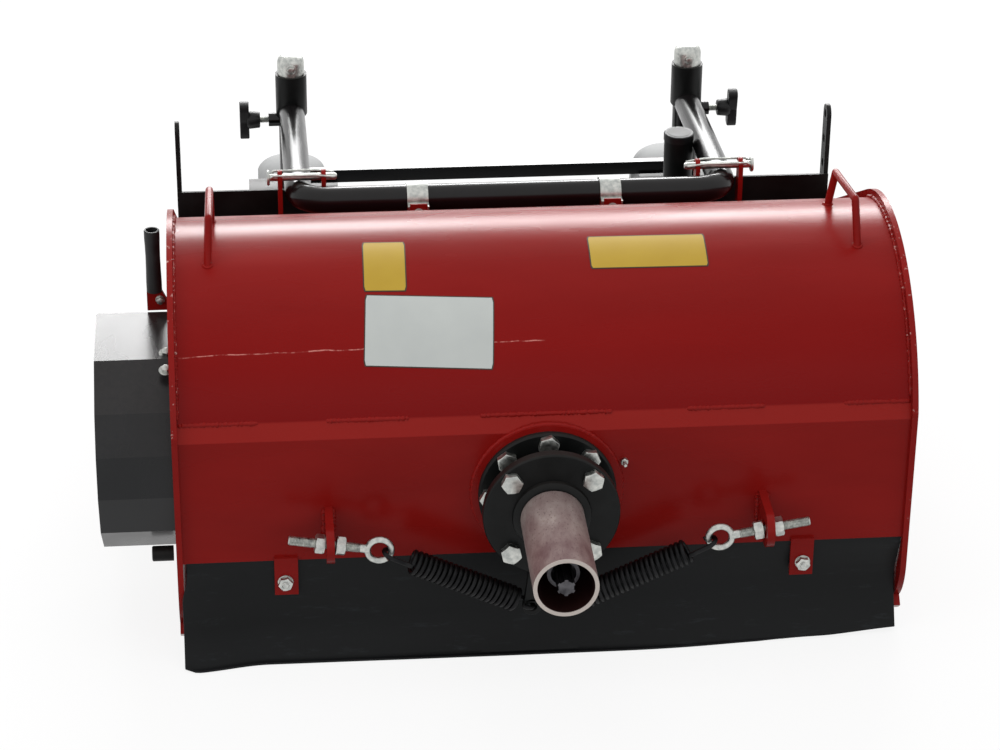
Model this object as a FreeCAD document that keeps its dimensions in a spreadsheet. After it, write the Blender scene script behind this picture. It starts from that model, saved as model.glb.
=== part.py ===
import FreeCAD, Part
import Sketcher
import os
import re

# Flail mulcher for a two-wheel tractor, in millimetres. X runs to the right and Y forward, away from
# the tractor. Pieces are drawn with the hood's arc centre at Y 0 and the ground at Z 0, and each body
# is then set from the middle of the coupling tube's mouth, which is the part's origin.

doc = FreeCAD.newDocument("FlailMulcher")
dim = doc.addObject("Spreadsheet::Sheet", "dim")
parts = []

sizes = {
    # hood
    "hoodWidth": 750,
    "endSheet": 6,
    "shellSheet": 5,
    "archHigh": 205,
    "archRadius": 188,
    "rimStep": 9,
    "rearAngle": 70.5,
    "frontAngle": 28,
    "bandLength": 19,
    "panelFoot": 111,
    "frontReach": 288,
    "lipDrop": 30,
    "plateOver": 6,
    "throatGap": 4,
    "edgeBreak": 2,
    "plateAhead": 37,
    "cornerRadius": 70,
    # skids
    "skidThick": 12,
    "skidWide": 38,
    "skidRise": 45,
    # rotor
    "rotorForward": 50,
    "rotorHigh": 135,
    "drumRadius": 38,
    "drumGap": 14,
    "stubRadius": 17.5,
    "runClear": 0.05,
    "lugRadius": 60,
    "lugSheet": 8,
    "lugWide": 30,
    "lugEye": 8,
    "flailPin": 5,
    "flailRadius": 112,
    "flailSheet": 6,
    "flailWide": 34,
    "flailSpread": 24,
    "flailPitch": 168,
    "flailCount": 4,
    "flailRows": 4,
    "bearingRadius": 46,
    "bearingThick": 16,
    "bearingNose": 26,
    # coupling that the tractor carries the hood by
    "couplingHigh": 183,
    "collarRadius": 76,
    "collarThick": 4,
    "shoulderRadius": 52,
    "ringRadius": 70,
    "ringThick": 6,
    "neckRadius": 45,
    "neckLong": 29,
    "spigotIn": 6,
    "flangeHalf": 56,
    "flangeCorner": 17,
    "flangeThick": 12,
    "flangeBolt": 40.5,
    "hubBore": 22,
    "tubeRadius": 32,
    "tubeWall": 4,
    "tubeLong": 136,
    "seatGap": 0.3,
    # drive shaft inside the tube
    "shaftRadius": 16,
    "shaftTip": 9,
    "splineRoot": 7.5,
    "splineWide": 3.4,
    "splineCount": 6,
    "cupBore": 12.5,
    "cupDeep": 18,
    "cupInset": 26,
    # spring arm, springs and eye bolts
    "armWide": 26,
    "armTop": 20,
    "armFoot": 9,
    "armThick": 8,
    "hookHigh": 74,
    "hookAside": 18,
    "hookHole": 5,
    "eyeAside": 172,
    "eyeHigh": 146,
    "eyeRing": 11.75,
    "eyeWire": 3.25,
    "eyeBoltLong": 92,
    "eyeTilt": 9.5,
    "eyeThread": 5,
    "nutHalf": 8.5,
    "nutThick": 8,
    "coilRadius": 13.5,
    "wireRadius": 2.7,
    "coilTurns": 19,
    "hookOuter": 22,
    "hookInner": 16,
    "hookPast": 0.8,
    "tabAside": 221,
    "tabThick": 8,
    "tabTall": 38,
    "tabClear": 1.2,
    # rubber flap and its tabs
    "flapThick": 6,
    "flapSide": 8,
    "flapFoot": 5,
    "flapFlare": 60,
    "flapAngle": 50,
    "flapTabAside": 265,
    "flapTabWide": 24,
    "flapTabUp": 5,
    "flapTabDown": 38,
    "flapTabThick": 4,
    # gearbox inside the hood
    "gearboxWide": 110,
    "gearboxDeep": 96,
    "gearboxTall": 112,
    "crossTube": 28,
    "crossBack": 118,
    "mountRim": 20,
    "mountTop": 62,
    "shaftIn": 10,
    # drive cover on the left end
    "coverWide": 76,
    "coverRadius": 114,
    "coverBack": 62,
    "coverHigh": 195,
    "coverTopTurn": 109,
    "coverFlatFront": 6,
    "noseRadius": 75,
    "noseTurn": 40,
    # belt lever
    "leverForward": 12,
    "leverGap": 0.4,
    "leverReach": 15.5,
    "leverTall": 4.8,
    "leverRise": 20.8,
    "leverSheet": 6,
    "gripRadius": 8,
    "gripLong": 70,
    # carry loops
    "loopInset": 40,
    "loopRear": 52,
    "loopFront": 20,
    "loopRise": 62,
    "rodRadius": 4,
    "rodBend": 18,
    # wheel frame
    "frameTube": 15,
    "frameWall": 3,
    "runForward": 205,
    "runStand": 23,
    "postAside": 235,
    "postForward": 510,
    "postDrop": 48,
    "bendRadius": 34,
    "sleeveRadius": 15.5,
    "headRadius": 18,
    "sleeveLong": 144,
    "headLong": 37,
    "spindleRadius": 11,
    "crossbarUp": 20,
    "crossbarTall": 16,
    "crossbarDeep": 10,
    "bossRadius": 8,
    "bossDrop": 58,
    "bossLong": 12,
    "knobStud": 4,
    "knobGap": 10,
    "knobHub": 10.5,
    "knobHubLong": 13,
    "wingTall": 48,
    "wingThick": 11,
    "wingWide": 15,
    "stubPostForward": 350,
    "stubPostRadius": 16.5,
    "stubPostFoot": 270,
    "stubPostTop": 338,
    "capRound": 4,
    # saddles and lock ears
    "saddleAside": 106,
    "saddleWide": 23,
    "saddleHalf": 30,
    "strapSheet": 3,
    "earIn": 28,
    "earOut": 20,
    "earSheet": 5,
    "earHalf": 8,
    "pinAhead": 26,
    "pinRadius": 4,
    "pinHead": 7,
    "pinOver": 12,
    # front guard
    "guardGap": 9,
    "guardSheet": 3,
    "guardTop": 304,
    "guardFoot": 120,
    "barSheet": 5,
    "barWide": 22,
    "barTop": 384,
    "barFoot": 130,
    "barHole": 5,
    "barPitch": 30,
    "barHoles": 8,
    # front wheels
    "wheelTrail": 100,
    "wheelRadius": 100,
    "wheelWide": 82,
    "rimRadius": 62,
    "hubRadius": 22,
    "webThick": 8,
    "rimInset": 8,
    "rimSheet": 6,
    "tyreCrown": 50,
    "tyreFacets": 3,
    "axleRadius": 6,
    "axleOver": 6,
    "forkSheet": 6,
    "forkGap": 6,
    "forkEye": 18,
    "crownGap": 3.5,
    "crownThick": 8,
    "crownHalf": 22,
    "washerGap": 0.5,
    "capRadius": 15,
    "capTall": 24,
}

for row, (name, value) in enumerate(sizes.items(), start=1):
    dim.set(f"A{row}", name)
    dim.set(f"B{row}", str(value))
    dim.setAlias(f"B{row}", name)
doc.recompute()


# The text of an expression with each size led by the sheet's name.
def bind(text):
    return re.sub(r"[A-Za-z]\w*", lambda word: "dim." + word[0] if word[0] in sizes else word[0], str(text))


def number(text):
    return float(dim.evalExpression(bind(text)))


def join(*terms):
    return " + ".join(f"({term})" for term in terms)


# Height of the hood's sloping front panel, or of a line offset above it.
def front(forward, offset="0"):
    return f"archHigh + (archRadius + {offset} - ({forward}) * sin(frontAngle)) / cos(frontAngle)"


# places that several pieces share
plateInner = "hoodWidth / 2 - endSheet"
panelFace = "archRadius * sin(rearAngle) + bandLength * cos(rearAngle)"
bandFoot = "archHigh + archRadius * cos(rearAngle) - bandLength * sin(rearAngle)"
ringFace = f"{panelFace} + collarThick + ringThick + seatGap"
flangeRear = f"{ringFace} + neckLong"
flangeFace = f"{flangeRear} + flangeThick"
tubeMouth = f"{flangeFace} + tubeLong"
plateFront = "(frontReach + plateAhead)"
guardRear = "(frontReach + guardGap)"
coverTop = "(coverHigh + coverRadius * sin(coverTopTurn))"
loopAside = "(hoodWidth / 2 - loopInset)"
axleForward = "postForward + wheelTrail"
sleeveFoot = "(2 * wheelRadius + crownGap + crownThick + washerGap)"
sleeveTop = f"({sleeveFoot} + sleeveLong)"
headFoot = f"({sleeveTop} - headLong)"
postHigh = f"({sleeveTop} - postDrop)"
bossHigh = f"({sleeveTop} - bossDrop)"
runHigh = f"({front('runForward')} + runStand)"
armDrop = f"({runHigh} - {postHigh}) / (postForward - runForward)"


def newBody(label, place=("0", "0", "0"), turn=None):
    body = doc.addObject("PartDesign::Body", label)
    body.Label = label
    for letter, text, datum in zip("xyz", place, ("0", tubeMouth, "-couplingHigh")):
        body.setExpression(f"Placement.Base.{letter}", bind(join(text, datum)))
    if turn:
        axis, angle = turn
        body.Placement = FreeCAD.Placement(body.Placement.Base, FreeCAD.Rotation(axis, number(angle)))
        body.setExpression("Placement.Rotation.Angle", bind(angle))
    doc.recompute()
    parts.append(body)
    return body


# A sketch on one of the body's own planes. Its third shift is along the plane's normal.
def newSketch(body, plane, shift=("0", "0", "0")):
    sketch = body.newObject("Sketcher::SketchObject", "Sketch")
    support = [item for item in body.Origin.OriginFeatures if item.Role == plane + "_Plane"][0]
    sketch.AttachmentSupport = [(support, "")]
    sketch.MapMode = "FlatFace"
    for letter, text in zip("xyz", shift):
        sketch.setExpression(f"AttachmentOffset.Base.{letter}", bind(text))
    return sketch


def fix(sketch, kind, place, text):
    index = sketch.addConstraint(Sketcher.Constraint(kind, *place, number(text)))
    sketch.setExpression(f"Constraints[{index}]", bind(text))


# Hold a point of the sketch at a place given as two expressions from the sketch's origin.
def pin(sketch, geometry, point, across, up):
    for kind, text in (("DistanceX", across), ("DistanceY", up)):
        fix(sketch, kind, (-1, 1, geometry, point), text)


# Lines and arcs through the corners. A corner of four items starts an arc: x, y, radius, turn. Half
# circles stand square to the sketch's axes and are held by their centres.
def outline(sketch, corners, closed=True):
    count = len(corners) if closed else len(corners) - 1
    spots = [FreeCAD.Vector(number(corner[0]), number(corner[1]), 0) for corner in corners]
    first = sketch.GeometryCount
    for step in range(count):
        start = spots[step]
        end = spots[(step + 1) % len(spots)]
        if len(corners[step]) == 2:
            sketch.addGeometry(Part.LineSegment(start, end))
        else:
            sketch.addGeometry(arcBetween(start, end, number(corners[step][2]), corners[step][3]))
    for step in range(count):
        item = first + step
        isArc = len(corners[step]) > 2
        starts = 2 if isArc and corners[step][3] < 0 else 1
        ends = 3 - starts
        pin(sketch, item, starts, corners[step][0], corners[step][1])
        if isArc:
            chord = spots[(step + 1) % len(spots)] - spots[step]
            if chord.Length < 2 * number(corners[step][2]) - 0.001:
                fix(sketch, "Radius", (item,), corners[step][2])
            elif abs(chord.x) > abs(chord.y):
                fix(sketch, "DistanceY", (-1, 1, item, 3), corners[step][1])
            else:
                fix(sketch, "DistanceX", (-1, 1, item, 3), corners[step][0])
        if step + 1 < count or closed:
            following = first + (step + 1) % count
            nextCorner = corners[(step + 1) % len(corners)]
            nextStarts = 2 if len(nextCorner) > 2 and nextCorner[3] < 0 else 1
            sketch.addConstraint(Sketcher.Constraint("Coincident", item, ends, following, nextStarts))
        else:
            pin(sketch, item, ends, corners[-1][0], corners[-1][1])


# The short arc from start to end, turning left for 1 and right for -1.
def arcBetween(start, end, radius, turn):
    middle = (start + end) / 2
    half = (end - start).Length / 2
    reach = max(radius * radius - half * half, 0) ** 0.5
    along = (end - start).normalize()
    aside = FreeCAD.Vector(-along.y, along.x, 0)
    centre = middle + aside * reach * turn
    top = centre - aside * radius * turn
    return Part.Arc(start, top, end)


def disc(sketch, radius, across="0", up="0"):
    place = FreeCAD.Vector(number(across), number(up), 0)
    item = sketch.addGeometry(Part.Circle(place, FreeCAD.Vector(0, 0, 1), number(radius)))
    fix(sketch, "Radius", (item,), radius)
    pin(sketch, item, 3, across, up)


def box(sketch, left, right, low, high):
    outline(sketch, [(left, low), (right, low), (right, high), (left, high)])


def grow(body, sketch, length, kind="Pad"):
    feature = body.newObject("PartDesign::" + kind, kind)
    feature.Profile = sketch
    feature.setExpression("Length", bind(length))
    sketch.Visibility = False
    doc.recompute()
    return feature


def spin(body, sketch, axis="V_Axis"):
    feature = body.newObject("PartDesign::Revolution", "Revolution")
    feature.Profile = sketch
    feature.ReferenceAxis = (sketch, [axis])
    feature.Angle = 360
    doc.recompute()
    return feature


def pipe(body, spine, profile):
    feature = body.newObject("PartDesign::AdditivePipe", "Pipe")
    feature.Profile = profile
    feature.Spine = spine
    doc.recompute()
    return feature


def row(body, feature, sketch, length, count):
    pattern = body.newObject("PartDesign::LinearPattern", "Row")
    pattern.Originals = [feature]
    pattern.Direction = (sketch, ["H_Axis"])
    pattern.setExpression("Length", bind(length))
    pattern.setExpression("Occurrences", bind(count))
    body.Tip = pattern
    doc.recompute()
    return pattern


def hood():
    shell = newBody("hood_shell")
    sketch = newSketch(shell, "YZ", ("0", "0", f"-({plateInner})"))
    inside = "archRadius - shellSheet"
    outline(sketch, [
        (f"-({panelFace})", "panelFoot"),
        (f"-({panelFace})", bandFoot),
        ("-archRadius * sin(rearAngle)", "archHigh + archRadius * cos(rearAngle)", "archRadius", -1),
        ("archRadius * sin(frontAngle)", "archHigh + archRadius * cos(frontAngle)"),
        ("frontReach", front("frontReach")),
        ("frontReach", join(front("frontReach"), "-lipDrop")),
        ("frontReach - shellSheet", join(front("frontReach"), "-lipDrop")),
        ("frontReach - shellSheet", front("frontReach - shellSheet", "-shellSheet")),
        (f"({inside}) * sin(frontAngle)", f"archHigh + ({inside}) * cos(frontAngle)", inside, 1),
        (f"-({inside}) * sin(rearAngle)", f"archHigh + ({inside}) * cos(rearAngle)"),
        (f"shellSheet - ({panelFace})", f"{bandFoot} - shellSheet * tan((90 - rearAngle) / 2)"),
        (f"shellSheet - ({panelFace})", "panelFoot"),
    ])
    grow(shell, sketch, f"2 * ({plateInner})")
    sketch = newSketch(shell, "XZ", ("0", "0", f"{panelFace} + 1"))
    disc(sketch, "shoulderRadius + throatGap", "0", "couplingHigh")
    grow(shell, sketch, "shellSheet + 2", "Pocket")


def endPlate(label, left):
    plate = newBody(label)
    sketch = newSketch(plate, "YZ", ("0", "0", left))
    rim = "archRadius + rimStep"
    rear = f"{panelFace} + plateOver"
    outline(sketch, [
        (f"-({rear})", "skidThick + cornerRadius"),
        (f"-({rear})", f"archHigh + sqrt(({rim}) ^ 2 - ({rear}) ^ 2)", rim, -1),
        (f"({rim}) * sin(frontAngle)", f"archHigh + ({rim}) * cos(frontAngle)"),
        (plateFront, front(plateFront, "rimStep")),
        (plateFront, "skidThick + cornerRadius", "cornerRadius", -1),
        (f"{plateFront} - cornerRadius", "skidThick"),
        (f"cornerRadius - ({rear})", "skidThick", "cornerRadius", -1),
    ])
    grow(plate, sketch, "endSheet")
    sketch = newSketch(plate, "YZ", ("0", "0", join(left, "endSheet + 1")))
    disc(sketch, "stubRadius + runClear", "rotorForward", "rotorHigh")
    grow(plate, sketch, "endSheet + 2", "Pocket")


def skid(label, left):
    shoe = newBody(label)
    sketch = newSketch(shoe, "YZ", ("0", "0", left))
    rear = f"cornerRadius - ({panelFace}) - plateOver"
    fore = f"{plateFront} - cornerRadius"
    centre = "skidThick + cornerRadius"
    outer = "cornerRadius + skidThick"
    outline(sketch, [
        (f"{rear} - ({outer}) * sin(skidRise)", f"{centre} - ({outer}) * cos(skidRise)", outer, 1),
        (rear, "0"),
        (fore, "0", outer, 1),
        (f"{fore} + ({outer}) * sin(skidRise)", f"{centre} - ({outer}) * cos(skidRise)"),
        (f"{fore} + cornerRadius * sin(skidRise)", f"{centre} - cornerRadius * cos(skidRise)", "cornerRadius", -1),
        (fore, "skidThick"),
        (rear, "skidThick", "cornerRadius", -1),
        (f"{rear} - cornerRadius * sin(skidRise)", f"{centre} - cornerRadius * cos(skidRise)"),
    ])
    grow(shoe, sketch, "skidWide")


# A turned ring on the coupling's axis. Its profile is given as distances behind the origin and radii.
def couplingRing(label, corners):
    ring = newBody(label, ("0", "0", "couplingHigh"))
    sketch = newSketch(ring, "YZ")
    outline(sketch, [(f"-({behind})", radius) for behind, radius in corners])
    spin(ring, sketch, "H_Axis")
    return ring


def coupling():
    collarFace = f"{panelFace} + collarThick"
    couplingRing("swivel_collar", [
        (panelFace, "shoulderRadius + runClear"),
        (panelFace, "collarRadius"),
        (collarFace, "collarRadius"),
        (collarFace, "shoulderRadius + runClear"),
    ])
    couplingRing("back_ring", [
        (collarFace, "neckRadius + runClear"),
        (collarFace, "ringRadius"),
        (f"{collarFace} + ringThick - edgeBreak", "ringRadius"),
        (f"{collarFace} + ringThick", "ringRadius - edgeBreak"),
        (f"{collarFace} + ringThick", "neckRadius + runClear"),
    ])
    hub = couplingRing("swivel_hub", [
        (f"{panelFace} - spigotIn", "hubBore"),
        (f"{panelFace} - spigotIn", "shoulderRadius"),
        (f"{collarFace} - seatGap", "shoulderRadius"),
        (f"{collarFace} - seatGap", "neckRadius"),
        (ringFace, "neckRadius"),
        (flangeRear, "flangeBolt"),
        (flangeFace, "flangeBolt"),
        (flangeFace, "hubBore"),
    ])
    sketch = newSketch(hub, "XZ", ("0", "0", flangeRear))
    reach = "flangeHalf"
    flat = "flangeHalf - flangeCorner"
    outline(sketch, [
        (f"-({flat})", f"-{reach}"), (flat, f"-{reach}", "flangeCorner", 1),
        (reach, f"-({flat})"), (reach, flat, "flangeCorner", 1),
        (flat, reach), (f"-({flat})", reach, "flangeCorner", 1),
        (f"-{reach}", flat), (f"-{reach}", f"-({flat})", "flangeCorner", 1),
    ])
    disc(sketch, "hubBore")
    grow(hub, sketch, "flangeThick")
    sketch = newSketch(hub, "XZ", ("0", "0", flangeRear))
    foot = "hookHigh - couplingHigh"
    outline(sketch, [
        ("-armTop", "-flangeHalf + flangeCorner"),
        ("-armWide", f"{foot} + hookHole"),
        ("-armWide", f"{foot} - armFoot"),
        ("armWide", f"{foot} - armFoot"),
        ("armWide", f"{foot} + hookHole"),
        ("armTop", "-flangeHalf + flangeCorner"),
    ])
    disc(sketch, "hookHole", "-hookAside", foot)
    disc(sketch, "hookHole", "hookAside", foot)
    grow(hub, sketch, "armThick")
    couplingRing("coupling_tube", [
        (flangeFace, "tubeRadius - tubeWall"),
        (flangeFace, "tubeRadius"),
        (tubeMouth, "tubeRadius"),
        (tubeMouth, "tubeRadius - tubeWall"),
    ])


def driveShaft():
    cupMouth = f"{tubeMouth} - cupInset"
    cupFloor = f"{cupMouth} - cupDeep"
    gearRear = "crossBack + gearboxDeep / 2"
    shaft = couplingRing("pto_shaft", [
        (tubeMouth, "0"),
        (tubeMouth, "splineRoot"),
        (cupFloor, "splineRoot"),
        (cupFloor, "cupBore"),
        (cupMouth, "cupBore"),
        (cupMouth, "shaftRadius"),
        (f"{gearRear} - shaftIn", "shaftRadius"),
        (f"{gearRear} - shaftIn", "0"),
    ])
    sketch = newSketch(shaft, "XZ", ("0", "0", cupFloor))
    box(sketch, "-splineWide / 2", "splineWide / 2", "splineRoot / 2", "shaftTip")
    tooth = grow(shaft, sketch, "cupInset + cupDeep")
    ring = shaft.newObject("PartDesign::PolarPattern", "Splines")
    ring.Originals = [tooth]
    ring.Axis = (sketch, ["N_Axis"])
    ring.Angle = 360
    ring.setExpression("Occurrences", bind("splineCount"))
    shaft.Tip = ring
    doc.recompute()


def gearbox():
    box_ = newBody("gearbox", ("0", "-crossBack", "couplingHigh"))
    sketch = newSketch(box_, "XZ", ("0", "0", "-gearboxDeep / 2"))
    box(sketch, "-gearboxWide / 2", "gearboxWide / 2", "-gearboxTall / 2", "gearboxTall / 2")
    grow(box_, sketch, "gearboxDeep")
    sketch = newSketch(box_, "XZ", ("0", "0", "gearboxDeep / 2"))
    half = "shoulderRadius + throatGap + mountRim"
    box(sketch, f"-({half})", half, "panelFoot - couplingHigh", "mountTop")
    disc(sketch, "shoulderRadius + throatGap")
    grow(box_, sketch, f"{panelFace} - shellSheet - crossBack - gearboxDeep / 2")
    sketch = newSketch(box_, "YZ", ("0", "0", f"-({plateInner})"))
    disc(sketch, "crossTube")
    grow(box_, sketch, plateInner)
    sketch = newSketch(box_, "XZ", ("0", "0", "gearboxDeep / 2"))
    disc(sketch, "shaftRadius + runClear")
    grow(box_, sketch, "shaftIn + 1", "Pocket")


def driveCover():
    cover = newBody("drive_cover")
    sketch = newSketch(cover, "YZ", ("0", "0", "-hoodWidth / 2 - coverWide"))
    facets = [
        (f"coverRadius * cos({angle}) - coverBack", f"coverHigh + coverRadius * sin({angle})")
        for angle in (244, 210, 185, 162, 140, "coverTopTurn")
    ]
    nose = "noseRadius"
    outline(sketch, facets + [
        ("coverFlatFront", coverTop),
        (f"rotorForward + {nose} * cos(noseTurn)", f"rotorHigh + {nose} * sin(noseTurn)", nose, -1),
        ("rotorForward", f"rotorHigh - {nose}"),
    ])
    grow(cover, sketch, "coverWide - seatGap")


def beltLever():
    lever = newBody("belt_lever")
    sketch = newSketch(lever, "XZ", ("0", "0", "-leverForward - leverSheet / 2"))
    outer = "hoodWidth / 2 + leverReach + gripRadius"
    foot = f"{coverTop} + leverGap"
    outline(sketch, [
        ("-hoodWidth / 2", foot),
        (f"-({outer})", foot),
        (f"-({outer})", f"{foot} + leverRise"),
        (f"2 * gripRadius - ({outer})", f"{foot} + leverRise"),
        ("-hoodWidth / 2", f"{foot} + leverTall"),
    ])
    grow(lever, sketch, "leverSheet")
    place = ("-hoodWidth / 2 - leverReach", "leverForward", f"{foot} + leverRise")
    grip = newBody("lever_grip", place)
    sketch = newSketch(grip, "XZ")
    outline(sketch, [
        ("0", "0"),
        ("gripRadius", "0"),
        ("gripRadius", "gripLong - edgeBreak"),
        ("gripRadius - edgeBreak", "gripLong"),
        ("0", "gripLong"),
    ])
    spin(grip, sketch)


def carryLoop(label, side):
    loop = newBody(label)
    spine = newSketch(loop, "YZ", ("0", "0", f"{side} * {loopAside}"))
    top = "(archHigh + archRadius + loopRise)"
    foot = "archHigh + sqrt(archRadius ^ 2 - ({0} - rodRadius) ^ 2)"
    outline(spine, [
        ("-loopRear", foot.format("loopRear")),
        ("-loopRear", f"{top} - rodBend", "rodBend", -1),
        ("rodBend - loopRear", top),
        ("loopFront - rodBend", top, "rodBend", -1),
        ("loopFront", f"{top} - rodBend"),
        ("loopFront", foot.format("loopFront")),
    ], closed=False)
    profile = newSketch(loop, "XY", ("0", "0", foot.format("loopRear")))
    disc(profile, "rodRadius", f"{side} * {loopAside}", "-loopRear")
    pipe(loop, spine, profile)


def wheelFrame():
    frame = newBody("wheel_frame")
    tilt = f"atan({armDrop})"
    along = f"(postForward - runForward - sleeveRadius / 2) / cos({tilt})"
    spine = newSketch(frame, "XY", ("0", "runForward", runHigh))
    lean(spine, FreeCAD.Vector(-1, 0, 0), tilt)
    outline(spine, [
        ("-postAside", along),
        ("-postAside", "bendRadius", "bendRadius", 1),
        ("bendRadius - postAside", "0"),
        ("postAside - bendRadius", "0", "bendRadius", 1),
        ("postAside", "bendRadius"),
        ("postAside", along),
    ], closed=False)
    ahead = f"runForward + {along} * cos({tilt})"
    height = f"{runHigh} - {along} * sin({tilt})"
    profile = newSketch(frame, "XZ", ("-postAside", height, f"-({ahead})"))
    lean(profile, FreeCAD.Vector(-1, 0, 0), tilt)
    disc(profile, "frameTube")
    disc(profile, "frameTube - frameWall")
    pipe(frame, spine, profile)
    for side in (-1, 1):
        post = f"{side} * postAside"
        for foot, top, radius in ((sleeveFoot, headFoot, "sleeveRadius"), (headFoot, sleeveTop, "headRadius")):
            sketch = newSketch(frame, "XY", ("0", "0", foot))
            disc(sketch, radius, post, "postForward")
            grow(frame, sketch, f"{top} - {foot}")
        start = "postAside" if side > 0 else "-postAside - sleeveRadius - bossLong"
        sketch = newSketch(frame, "YZ", ("0", "0", start))
        disc(sketch, "bossRadius", "postForward", bossHigh)
        grow(frame, sketch, "sleeveRadius + bossLong")
    sketch = newSketch(frame, "XY", ("0", "0", f"{sleeveFoot} + crossbarUp - crossbarTall"))
    box(sketch, "-postAside", "postAside", "postForward - crossbarDeep / 2", "postForward + crossbarDeep / 2")
    grow(frame, sketch, "crossbarTall")
    for side in (-1, 1):
        sketch = newSketch(frame, "XY", ("0", "0", f"{sleeveTop} + 1"))
        disc(sketch, "spindleRadius + runClear", f"{side} * postAside", "postForward")
        grow(frame, sketch, "sleeveLong + 2", "Pocket")
        start = "postAside + sleeveRadius + bossLong" if side > 0 else "-postAside - spindleRadius"
        sketch = newSketch(frame, "YZ", ("0", "0", start))
        disc(sketch, "knobStud", "postForward", bossHigh)
        grow(frame, sketch, "sleeveRadius + bossLong - spindleRadius", "Pocket")


# Turn a sketch about an axis through its own origin.
def lean(sketch, axis, angle):
    place = sketch.AttachmentOffset
    sketch.AttachmentOffset = FreeCAD.Placement(place.Base, FreeCAD.Rotation(axis, number(angle)))
    sketch.setExpression("AttachmentOffset.Rotation.Angle", bind(angle))


def socketPost():
    post = newBody("capped_socket", ("postAside - frameTube - stubPostRadius", "stubPostForward", "stubPostFoot"))
    sketch = newSketch(post, "XZ")
    tall = "stubPostTop - stubPostFoot"
    outline(sketch, [
        ("0", "0"),
        ("stubPostRadius", "0"),
        ("stubPostRadius", f"{tall} - capRound", "capRound", 1),
        ("stubPostRadius - capRound", tall),
        ("0", tall),
    ])
    spin(post, sketch)


def knob(label, side):
    body = newBody(label, (f"{side} * (postAside + sleeveRadius + bossLong)", "postForward", bossHigh))
    stud = "bossLong + sleeveRadius - spindleRadius - seatGap"
    reach = "knobGap + knobHubLong"
    sketch = newSketch(body, "XY")
    outline(sketch, [(f"{side} * ({across})", radius) for across, radius in (
        (f"-({stud})", "0"),
        (f"-({stud})", "knobStud"),
        ("knobGap", "knobStud"),
        ("knobGap", "knobHub"),
        (reach, "knobHub"),
        (reach, "0"),
    )])
    spin(body, sketch, "H_Axis")
    sketch = newSketch(body, "XZ", ("0", "0", "-wingWide / 2"))
    box(sketch, f"{side} * ({reach})", f"{side} * ({reach} + wingThick)", "-wingTall / 2", "wingTall / 2")
    grow(body, sketch, "wingWide")


def saddles():
    brackets = newBody("saddle_brackets")
    straps = newBody("saddle_straps")
    bore = "frameTube + seatGap / 2"
    outer = f"{bore} + strapSheet"
    near = "runForward - saddleHalf"
    far = "runForward + saddleHalf"
    for side in (-1, 1):
        left = f"{side} * saddleAside - saddleWide / 2"
        sketch = newSketch(brackets, "YZ", ("0", "0", left))
        outline(sketch, [
            (near, front(near)),
            (far, front(far)),
            (far, runHigh),
            (f"runForward + {bore}", runHigh, bore, -1),
            (f"runForward - ({bore})", runHigh),
            (near, runHigh),
        ])
        grow(brackets, sketch, "saddleWide")
        sketch = newSketch(straps, "YZ", ("0", "0", left))
        rise = f"sqrt(({outer}) ^ 2 - strapSheet ^ 2)"
        outline(sketch, [
            (near, runHigh),
            (near, f"{runHigh} + strapSheet"),
            (f"runForward - {rise}", f"{runHigh} + strapSheet", outer, -1),
            (f"runForward + {rise}", f"{runHigh} + strapSheet"),
            (far, f"{runHigh} + strapSheet"),
            (far, runHigh),
            (f"runForward + {bore}", runHigh, bore, 1),
            (f"runForward - ({bore})", runHigh),
        ])
        grow(straps, sketch, "saddleWide")


pinForward = "runForward + pinAhead"
pinHigh = f"{runHigh} - pinAhead * {armDrop} + frameTube + pinRadius + seatGap"


def lockEars():
    ears = newBody("lock_ears")
    low = f"{pinForward} - earHalf"
    high = f"{pinForward} + earHalf"
    for side in (-1, 1):
        for aside in ("(postAside - earIn)", "(postAside + earOut)"):
            sketch = newSketch(ears, "YZ", ("0", "0", f"{side} * {aside} - earSheet / 2"))
            outline(sketch, [
                (low, front(low)),
                (high, front(high)),
                (high, pinHigh, "earHalf", 1),
                (low, pinHigh),
            ])
            disc(sketch, "pinRadius + seatGap / 2", pinForward, pinHigh)
            grow(ears, sketch, "earSheet")


def lockPin(label, side):
    middle = "(postAside + (earOut - earIn) / 2)"
    long = "earIn + earOut + earSheet + 2 * pinOver"
    body = newBody(label, (f"{side} * {middle}", pinForward, pinHigh))
    sketch = newSketch(body, "YZ", ("0", "0", f"-({long}) / 2"))
    disc(sketch, "pinRadius")
    grow(body, sketch, long)
    start = f"({long}) / 2 - pinHead / 2" if side > 0 else f"-({long}) / 2"
    sketch = newSketch(body, "YZ", ("0", "0", start))
    disc(sketch, "pinHead")
    grow(body, sketch, "pinHead / 2")


def frontGuard():
    guard = newBody("front_guard")
    sketch = newSketch(guard, "XZ", ("0", "0", f"-{guardRear} - guardSheet"))
    box(sketch, f"-({plateInner})", plateInner, "guardFoot", "guardTop")
    grow(guard, sketch, "guardSheet")
    for label, left in (("guard_bar_left", f"-({plateInner})"), ("guard_bar_right", f"{plateInner} - barSheet")):
        bar = newBody(label)
        middle = f"{guardRear} + guardSheet + barWide / 2"
        sketch = newSketch(bar, "YZ", ("0", "0", left))
        outline(sketch, [
            (f"{middle} - barWide / 2", "barFoot"),
            (f"{middle} + barWide / 2", "barFoot"),
            (f"{middle} + barWide / 2", "barTop - barWide / 2", "barWide / 2", 1),
            (f"{middle} - barWide / 2", "barTop - barWide / 2"),
        ])
        for step in range(sizes["barHoles"]):
            disc(sketch, "barHole", middle, f"barTop - barWide / 2 - {step} * barPitch")
        grow(bar, sketch, "barSheet")


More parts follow.
